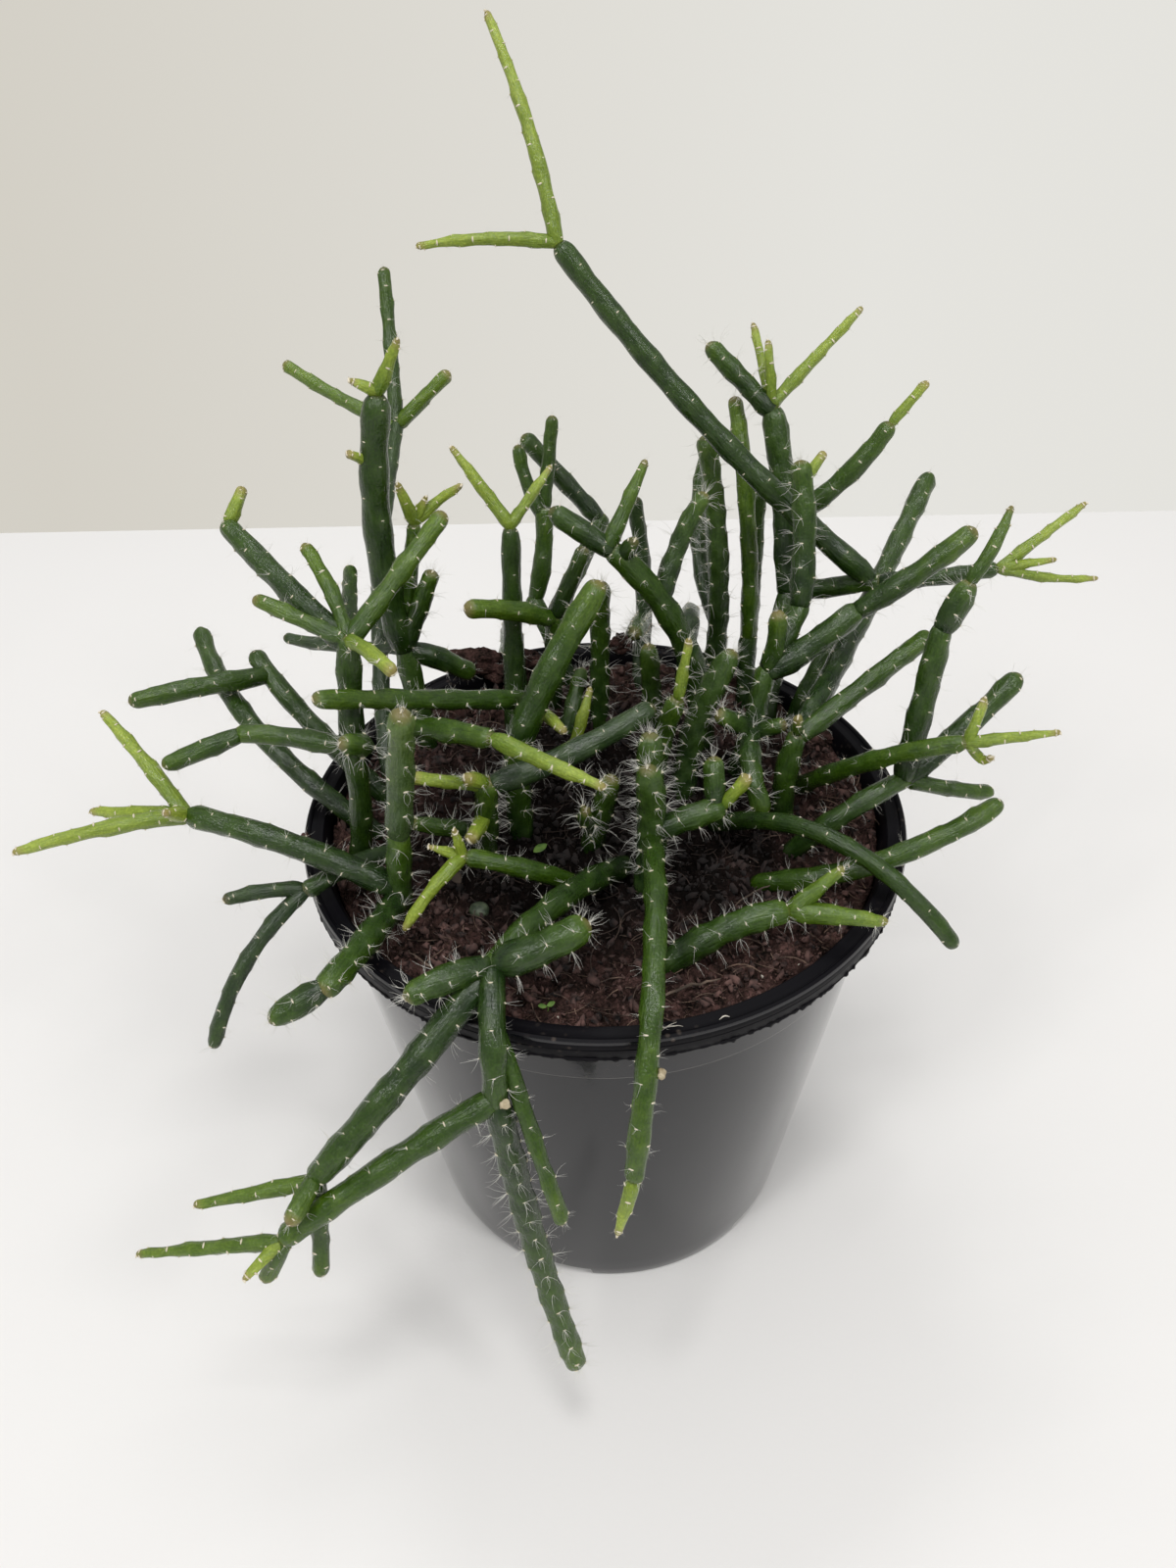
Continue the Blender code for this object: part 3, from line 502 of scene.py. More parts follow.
pot = buildPot()
flash = buildFlash()
print("pot built")


# Soil, in mm

soilValues = {
    "level": 102.6,
    "backRise": 1.4,
    "ripple": 0.5,
    "ripplePitch": (0.23, 0.19),
    "fineRipple": 0.3,
    "finePitch": (0.41, 0.17),
    "edgeStart": 44.0,
    "edgeSlope": 0.05,
    "rings": 130,
    "sides": 440,
    "lumps": 2.5,
    "lumpPitch": 0.16,
    "crumbs": 0.8,
    "crumbPitch": 1.3,
    "bottom": 2.1,
    "wallGap": 0.35,
    "bottomGap": 0.45,
    "peatTones": ((0.38, (0.004, 0.003, 0.0025)), (0.5, (0.028, 0.015, 0.013)),
                  (0.64, (0.095, 0.050, 0.044))),
    "grainColour": (0.15, 0.084, 0.072),
    "fibreColour": (0.11, 0.068, 0.048),
    # painted shade among the stem feet
    "paintedShadeColour": (0.004, 0.003, 0.0025),
}


def soilHeight(x, y):
    v = soilValues
    (slowX, slowY), (fineY, fineX) = v["ripplePitch"], v["finePitch"]
    ripple = v["ripple"] * math.sin(slowX * x + 1.0) * math.cos(slowY * y)
    ripple += v["fineRipple"] * math.sin(fineY * y - fineX * x)
    back = v["backRise"] * (y / potValues["wallHeight"] + 0.5)
    edge = max(0.0, math.hypot(x, y) - v["edgeStart"]) * v["edgeSlope"]
    return v["level"] + ripple + back - edge


def soilTop(x, y):
    # the even level and the broken surface of the peat on it
    v = soilValues
    spot = Vector((x, y, 0)) * v["lumpPitch"]
    slow = noise.fractal(spot, 0.7, 2.1, 3)
    lumps = abs(noise.fractal(spot * 1.9 + Vector((7, 2, 4)), 0.7, 2.0, 5))
    fine = noise.noise(Vector((x, y, 3)) * v["crumbPitch"])
    fine += 0.5 * noise.noise(Vector((x, y, 8)) * 2 * v["crumbPitch"])
    broken = v["lumps"] * (0.5 * slow - 0.8 * lumps + 0.2) + v["crumbs"] * fine
    return soilHeight(x, y) + broken


def buildSoilMaterial():
    # dark fibrous peat, redder and lighter on the raised crumbs, with painted shade towards the middle
    v = soilValues
    material, tree, shader, place = newMaterial("peatSoil", {"Roughness": 0.92, "Specular IOR Level": 0.08})
    spots = speckled(tree, place, 1500.0, 330.0)
    warp = cloudy(tree, place, 260.0, 3.0, "Color")
    bent = vectorCalc(tree, "MULTIPLY_ADD", warp, (0.006, 0.006, 0.006), place)
    strand = put(tree, "ShaderNodeTexVoronoi", {"Vector": bent, "Scale": 700.0}, feature="DISTANCE_TO_EDGE")
    thread = mapped(tree, strand.outputs["Distance"], 0.09, 0.0)
    colour = ramp(tree, spots["Cloud"], v["peatTones"])
    colour = blendColour(tree, times(tree, spots["Grain"], 0.45), colour, v["grainColour"])
    colour = blendColour(tree, times(tree, thread, 0.30), colour, v["fibreColour"])
    # painted shade darkens the peat among the stem feet
    outOfShade = placeGroup(tree, paintedShadeGroup, place)["Dryness"]
    colour = blendColour(tree, outOfShade, v["paintedShadeColour"], colour)
    relief = plus(tree, spots["Grain"], times(tree, thread, 1.2))
    dress(tree, shader, colour, bump(tree, relief, 0.8, 0.35 * mm))
    return material


soilMaterial = buildSoilMaterial()


def buildSoil():
    # a disc of rings with the crumbly top, closed by a skirt and a flat bottom
    v = soilValues
    sides, rings = v["sides"], v["rings"]
    outer = wallRadius(v["level"]) - potValues["wall"] - v["wallGap"]
    low = wallRadius(v["bottom"]) - potValues["wall"] - v["bottomGap"]
    around = [fullTurn * step / sides for step in range(sides)]
    points = [Vector((0, 0, soilTop(0, 0))) * mm]
    for ring in range(1, rings + 1):
        radius = outer * ring / rings
        for angle in around:
            x, y = radius * math.cos(angle), radius * math.sin(angle)
            points.append(Vector((x, y, soilTop(x, y))) * mm)
    for angle in around:
        points.append(Vector((low * math.cos(angle), low * math.sin(angle), v["bottom"])) * mm)
    faces = [(0, 1 + step, 1 + (step + 1) % sides) for step in range(sides)]
    for ring in range(rings):
        inner = 1 + ring * sides
        for step in range(sides):
            after = (step + 1) % sides
            faces.append((inner + step, inner + sides + step, inner + sides + after, inner + after))
    last = 1 + rings * sides
    faces.append(tuple(reversed(range(last, last + sides))))
    return meshObject("peatSoil", points, faces, soilMaterial)


soil = buildSoil()
print("soil built")


# Loose bits on the soil: crumbs, fibres and pale flecks, each a handful of faces

litterValues = {
    # how many, and the smallest and largest size in mm
    "crumbs": (5600, 0.25, 1.25),
    "fibres": (1500, 1.5, 8.0),
    "flecks": (60, 0.18, 0.5),
    "mostlySmall": 2.4,
    "proportions": ((0.7, 1.7), (0.35, 0.9), (0.3, 0.8)),
    "fibreLift": 0.15,
    "fibreLean": 0.35,
    "reach": 54.0,
    "seed": 23,
    # dark and light colour and roughness
    "finishes": {
        "peatCrumb": ((0.006, 0.004, 0.0035), (0.150, 0.080, 0.068), 0.95),
        "peatFibre": ((0.030, 0.018, 0.013), (0.22, 0.14, 0.10), 0.85),
        "paleFleck": ((0.30, 0.27, 0.22), (0.62, 0.58, 0.50), 0.8),
    },
}


def buildLitterMaterial(name, dark, light, roughness):
    material, tree, shader, place = newMaterial(name, {"Roughness": roughness})
    spots = speckled(tree, place, 2200.0, 420.0)
    colour = blendColour(tree, mapped(tree, spots["Cloud"], 0.35, 0.65), dark, light)
    # painted shade darkens the loose bits among the stem feet
    outOfShade = placeGroup(tree, paintedShadeGroup, place)["Dryness"]
    colour = blendColour(tree, outOfShade, dark, colour)
    dress(tree, shader, colour, bump(tree, spots["Grain"], 0.5, 0.15 * mm))
    return material


litterMaterials = {name: buildLitterMaterial(name, *finish)
                   for name, finish in litterValues["finishes"].items()}


def buildLitterTree():
    # copies of two shapes by each point's own kind, size and turn
    tree, given, out = geometryTree("soilLitter", [
        ("Crumb Material", "Material", None),
        ("Fibre Material", "Material", None),
        ("Fleck Material", "Material", None),
        ("Fibre Thickness", "Float", 0.018),
        ("Roughness", "Float", 0.42),
        ("Seed", "Int", 5),
    ])
    points = put(tree, "GeometryNodeMeshToPoints", {"Mesh": given["Geometry"]}).outputs["Points"]
    kind = named(tree, "kind", "INT")
    size = named(tree, "size", "FLOAT_VECTOR")
    turn = named(tree, "turn", "FLOAT_VECTOR")
    ball = put(tree, "GeometryNodeMeshIcoSphere", {"Radius": 1.0, "Subdivisions": 1}).outputs["Mesh"]
    shake = put(tree, "FunctionNodeRandomValue",
                {"Min": (-1.0, -1.0, -1.0), "Max": (1.0, 1.0, 1.0), "Seed": given["Seed"]},
                data_type="FLOAT_VECTOR").outputs["Value"]
    wobble = scaled(tree, shake, given["Roughness"])
    chunk = put(tree, "GeometryNodeSetPosition", {"Geometry": ball, "Offset": wobble}).outputs["Geometry"]
    bend = arc(tree, 5, (-0.5, 0.0, 0.0), (0.0, 0.35, 0.12), (0.5, 0.0, 0.0))
    thread = swept(tree, bend, 3, given["Fibre Thickness"])
    joined = put(tree, "GeometryNodeJoinGeometry")
    looks = ((chunk, "Crumb Material"), (thread, "Fibre Material"), (chunk, "Fleck Material"))
    for number, (shape, material) in enumerate(looks):
        chosen = calc(tree, "COMPARE", kind, float(number), 0.5)
        copies = put(tree, "GeometryNodeInstanceOnPoints",
                     {"Points": points, "Selection": chosen, "Instance": shape,
                      "Rotation": turn, "Scale": size}).outputs["Instances"]
        tree.links.new(painted(tree, copies, given[material], False), joined.inputs["Geometry"])
    tree.links.new(joined.outputs["Geometry"], out["Geometry"])
    return tree


def buildLitter():
    v = litterValues
    random.seed(v["seed"])
    spots, kinds, sizes, turns = [], [], [], []
    for kind, name in enumerate(("crumbs", "fibres", "flecks")):
        count, small, large = v[name]
        isFibre = name == "fibres"
        lean = v["fibreLean"] if isFibre else math.pi
        for _ in range(count):
            radius = v["reach"] * math.sqrt(random.random())
            angle = random.uniform(0, fullTurn)
            x, y = radius * math.cos(angle), radius * math.sin(angle)
            size = small + (large - small) * random.random() ** v["mostlySmall"]
            lift = v["fibreLift"] if isFibre else 0.25 * size
            spots.append(Vector((x, y, soilTop(x, y) + lift)) * mm)
            kinds.append(kind)
            if isFibre:
                sizes += [size * mm] * 3
            else:
                sizes += [size * mm * random.uniform(*span) for span in v["proportions"]]
            turns += [random.uniform(-limit, limit) for limit in (lean, lean, math.pi)]
    base = bpy.data.meshes.new("litterPoints")
    base.from_pydata(spots, [], [])
    base.attributes.new("kind", "INT", "POINT").data.foreach_set("value", kinds)
    base.attributes.new("size", "FLOAT_VECTOR", "POINT").data.foreach_set("vector", sizes)
    base.attributes.new("turn", "FLOAT_VECTOR", "POINT").data.foreach_set("vector", turns)
    return finishMesh("soilLitter", base, buildLitterTree(), {
        "Crumb Material": litterMaterials["peatCrumb"],
        "Fibre Material": litterMaterials["peatFibre"],
        "Fleck Material": litterMaterials["paleFleck"],
        "Seed": v["seed"],
    })


litter = buildLitter()
print("litter scattered")


# Single things lying on the soil and the rim, each with its place and size in mm

findValues = {
    # peat lumps: place, half sizes
    "lumps": (
        ((-27.5, 52.5, 107.6), (6.5, 4.0, 3.0)),
        ((-16.0, 53.0, 106.6), (5.0, 3.5, 2.4)),
        ((-20.5, 50.0, 105.6), (3.5, 3.0, 2.2)),
        ((7.6, 57.6, 107.4), (2.7, 2.5, 2.0)),
        ((34.0, 45.0, 104.6), (5.0, 3.5, 2.0)),
        ((48.0, 24.0, 103.6), (3.8, 4.4, 1.6)),
        ((-59.3, -6.0, 107.2), (1.0, 1.6, 0.7)),
    ),
    "pebble": ((-25.1, -24.3, 103.3), (1.9, 1.9, 1.5)),
    # leaves and bark: place, length, width, turn in degrees and rise
    "seedLeaves": (
        ((-13.0, -49.3, 104.4), 1.5, 1.1, 15, 0.5),
        ((-13.0, -49.3, 104.4), 1.5, 1.1, 190, 0.5),
        ((-14.5, -10.0, 104.2), 3.2, 2.0, 35, 0.3),
    ),
    "bark": ((-28.8, -17.4, 103.9), 3.4, 2.2, 120, 1.0, 0.3),
    # thin things: start, end, rise in the middle, half thickness
    "seedStalk": ((-13.0, -49.4, 102.8), (-13.0, -49.3, 104.45), 0.0, 0.12),
    "twigs": (
        ((4.5, -49.0, 103.0), (18.0, -44.8, 103.4), 1.0, 0.32),
        ((-22.0, -33.0, 103.2), (-10.5, -36.5, 103.5), 0.8, 0.22),
        ((22.0, -27.5, 103.2), (31.5, -22.0, 103.6), 1.3, 0.20),
        ((-38.0, -33.0, 102.8), (-31.0, -41.0, 103.0), 0.7, 0.24),
    ),
    "wisps": (
        ((5.6, -57.6, 106.9), (9.6, -57.4, 107.0), 0.4, 0.10),
        ((6.0, -57.9, 106.8), (8.6, -56.6, 107.2), 0.3, 0.07),
        ((15.8, -56.2, 106.9), (17.6, -55.9, 107.0), 0.3, 0.14),
    ),
    # dried buds left on two hanging stems
    "driedBuds": (
        ((5.1, -66.3, 106.4), (0.75, 0.8, 1.1)),
        ((-20.5, -66.4, 100.8), (0.9, 0.8, 0.7)),
    ),
    # how uneven the lumps are, as a share of their size
    "lumpRoughness": 0.45,
    "pebbleRoughness": 0.08,
    "budRoughness": 0.35,
    # dark and light colour, and roughness of what is dry
    "leafColours": ((0.055, 0.12, 0.018), (0.12, 0.21, 0.035)),
    "stoneColours": ((0.020, 0.032, 0.016), (0.075, 0.095, 0.055)),
    "budFinish": ((0.26, 0.20, 0.11), (0.55, 0.47, 0.32), 0.8),
    "barkFinish": ((0.05, 0.035, 0.025), (0.17, 0.12, 0.09), 0.9),
}


def lump(place, sizes, roughness, levels=3):
    # a rough closed lump as points and faces
    build = bmesh.new()
    bmesh.ops.create_icosphere(build, subdivisions=levels, radius=1.0)
    for point in build.verts:
        spot = point.co * 1.6 + Vector(place)
        point.co *= 1.0 + roughness * noise.fractal(spot, 0.8, 2.2, 4)
        point.co = Vector([c * s for c, s in zip(point.co, sizes)]) + Vector(place)
    points = [point.co * mm for point in build.verts]
    faces = [tuple(corner.index for corner in face.verts) for face in build.faces]
    build.free()
    return points, faces


def rod(start, end, rise, thickness, sides=6, steps=10):
    # a bent thread, thin at both ends
    start, end = Vector(start), Vector(end)
    forward = (end - start).normalized()
    side = forward.cross(Vector((0, 0, 1))).normalized()
    upward = side.cross(forward)
    points, faces = [], []
    for step in range(steps + 1):
        share = step / steps
        centre = start.lerp(end, share) + Vector((0, 0, 4 * rise * share * (1 - share)))
        centre += side * 0.5 * thickness * noise.noise(centre * 0.7) * 6
        width = thickness * (0.35 + 0.65 * math.sin(math.pi * min(max(share, 0.04), 0.96)))
        for corner in range(sides):
            angle = fullTurn * corner / sides
            spoke = side * width * math.cos(angle) + upward * width * math.sin(angle)
            points.append((centre + spoke) * mm)
    for step in range(steps):
        here = step * sides
        for corner in range(sides):
            after = (corner + 1) % sides
            faces.append((here + corner, here + after, here + sides + after, here + sides + corner))
    faces.append(tuple(reversed(range(sides))))
    faces.append(tuple(range(steps * sides, (steps + 1) * sides)))
    return points, faces


def blade(place, length, width, turn, lift, thickness=0.14, steps=8):
    # an oval leaf with a slight cup, rising from its foot
    points, faces = [], []
    across = 5
    spin = Matrix.Rotation(math.radians(turn), 3, "Z")
    for layer in (0.5, -0.5):
        for step in range(steps + 1):
            share = step / steps
            half = width / 2 * math.sin(math.pi * min(max(share, 0.02), 0.98)) ** 0.7
            for row in range(across):
                aside = (row / (across - 1) - 0.5) * 2 * half
                height = lift * share ** 1.5 + 0.25 * aside ** 2 / width + layer * thickness
                local = Vector((share * length, aside, height))
                local.rotate(spin)
                points.append((Vector(place) + local) * mm)
    layerSize = (steps + 1) * across
    for step in range(steps):
        for row in range(across - 1):
            corner = step * across + row
            square = (corner, corner + 1, corner + across + 1, corner + across)
            faces.append(square)
            faces.append(tuple(layerSize + c for c in reversed(square)))
    border = list(range(across))
    border += [step * across + across - 1 for step in range(1, steps + 1)]
    border += [steps * across + row for row in range(across - 2, -1, -1)]
    border += [step * across for step in range(steps - 1, 0, -1)]
    for first, second in zip(border, border[1:] + border[:1]):
        faces.append((second, first, layerSize + first, layerSize + second))
    return points, faces


def joinedMesh(name, parts, material):
    points, faces = [], []
    for partPoints, partFaces in parts:
        start = len(points)
        points += partPoints
        faces += [tuple(start + corner for corner in face) for face in partFaces]
    return meshObject(name, points, faces, material)


def buildGreenMaterial(name, dark, light):
    material, tree, shader, place = newMaterial(name, {"Roughness": 0.55})
    spots = speckled(tree, place, 2600.0, 900.0)
    colour = blendColour(tree, mapped(tree, spots["Cloud"], 0.35, 0.65), dark, light)
    dress(tree, shader, colour, bump(tree, spots["Grain"], 0.4, 0.08 * mm))
    return material


def buildFinds():
    v = findValues
    leafMaterial = buildGreenMaterial("seedlingLeaf", *v["leafColours"])
    stoneMaterial = buildGreenMaterial("mossyPebble", *v["stoneColours"])
    dryMaterial = buildLitterMaterial("driedBud", *v["budFinish"])
    barkMaterial = buildLitterMaterial("barkFlake", *v["barkFinish"])
    lumps = [lump(place, sizes, v["lumpRoughness"], 4) for place, sizes in v["lumps"]]
    firstLeaf, secondLeaf, fallenLeaf = (blade(*leaf) for leaf in v["seedLeaves"])
    greens = [firstLeaf, secondLeaf, rod(*v["seedStalk"]), fallenLeaf]
    bark = [blade(*v["bark"])] + [rod(*twig) for twig in v["twigs"]]
    dried = [lump(place, sizes, v["budRoughness"]) for place, sizes in v["driedBuds"]]
    finds = [
        joinedMesh("peatLumps", lumps, soilMaterial),
        joinedMesh("pebble", [lump(*v["pebble"], v["pebbleRoughness"])], stoneMaterial),
        joinedMesh("seedlingAndLeaf", greens, leafMaterial),
        joinedMesh("barkAndTwigs", bark, barkMaterial),
        joinedMesh("rimWisps", [rod(*wisp) for wisp in v["wisps"]], litterMaterials["paleFleck"]),
    ]
    return finds, joinedMesh("driedBuds", dried, dryMaterial)


soilFinds, driedBuds = buildFinds()
print("finds laid out")


# Stems: how each kind of growth looks

# growth from old to young at foot and tip, bluish bloom, areole step, knob height, bristles to a tuft,
# their length, brown of the tip, length of the brown end, bristles on the tip. Lengths are in mm.
kindFields = ("youth", "blue", "step", "knob", "hairs", "hair", "tan", "brown", "crown")
kindRows = {
    "plain": ((0.0, 0.23), 0.05, 1.4, 0.20, 4, 2.3, 0.35, 0.9, 9),
    "smooth": ((0.05, 0.15), 0.05, 2.2, 0.10, 2, 0.8, 0.2, 0.8, 4),
    "ripening": ((0.06, 0.38), 0.0, 1.4, 0.22, 4, 2.2, 0.6, 1.4, 14),
    "green": ((0.14, 0.30), 0.0, 1.5, 0.20, 4, 2.0, 0.4, 0.9, 9),
    "hairy": ((0.0, 0.31), 0.05, 0.95, 0.22, 6, 3.1, 0.5, 0.9, 16),
    "woolly": ((0.0, 0.26), 0.15, 0.8, 0.22, 8, 3.0, 0.4, 1.0, 26),
    "bloomy": ((0.0, 0.10), 0.35, 1.5, 0.20, 4, 2.3, 0.3, 0.9, 8),
    "dusty": ((0.18, 0.42), 0.6, 1.2, 0.20, 5, 2.7, 0.6, 1.4, 12),
    "olive": ((0.22, 0.45), 0.0, 1.5, 0.22, 3, 1.8, 0.7, 1.6, 9),
    "fresh": ((0.36, 0.52), 0.0, 1.5, 0.20, 3, 1.4, 0.7, 1.6, 9),
    "freshHairy": ((0.32, 0.56), 0.0, 1.2, 0.22, 5, 2.1, 0.6, 1.4, 16),
    "lime": ((0.56, 0.90), 0.0, 1.4, 0.22, 2, 1.2, 0.8, 2.2, 7),
    "limeHairy": ((0.50, 0.84), 0.0, 1.3, 0.24, 5, 2.1, 0.8, 2.0, 14),
    "bud": ((0.62, 0.94), 0.0, 1.0, 0.18, 3, 1.1, 0.9, 1.6, 8),
}
stemKinds = {name: dict(zip(kindFields, row)) for name, row in kindRows.items()}

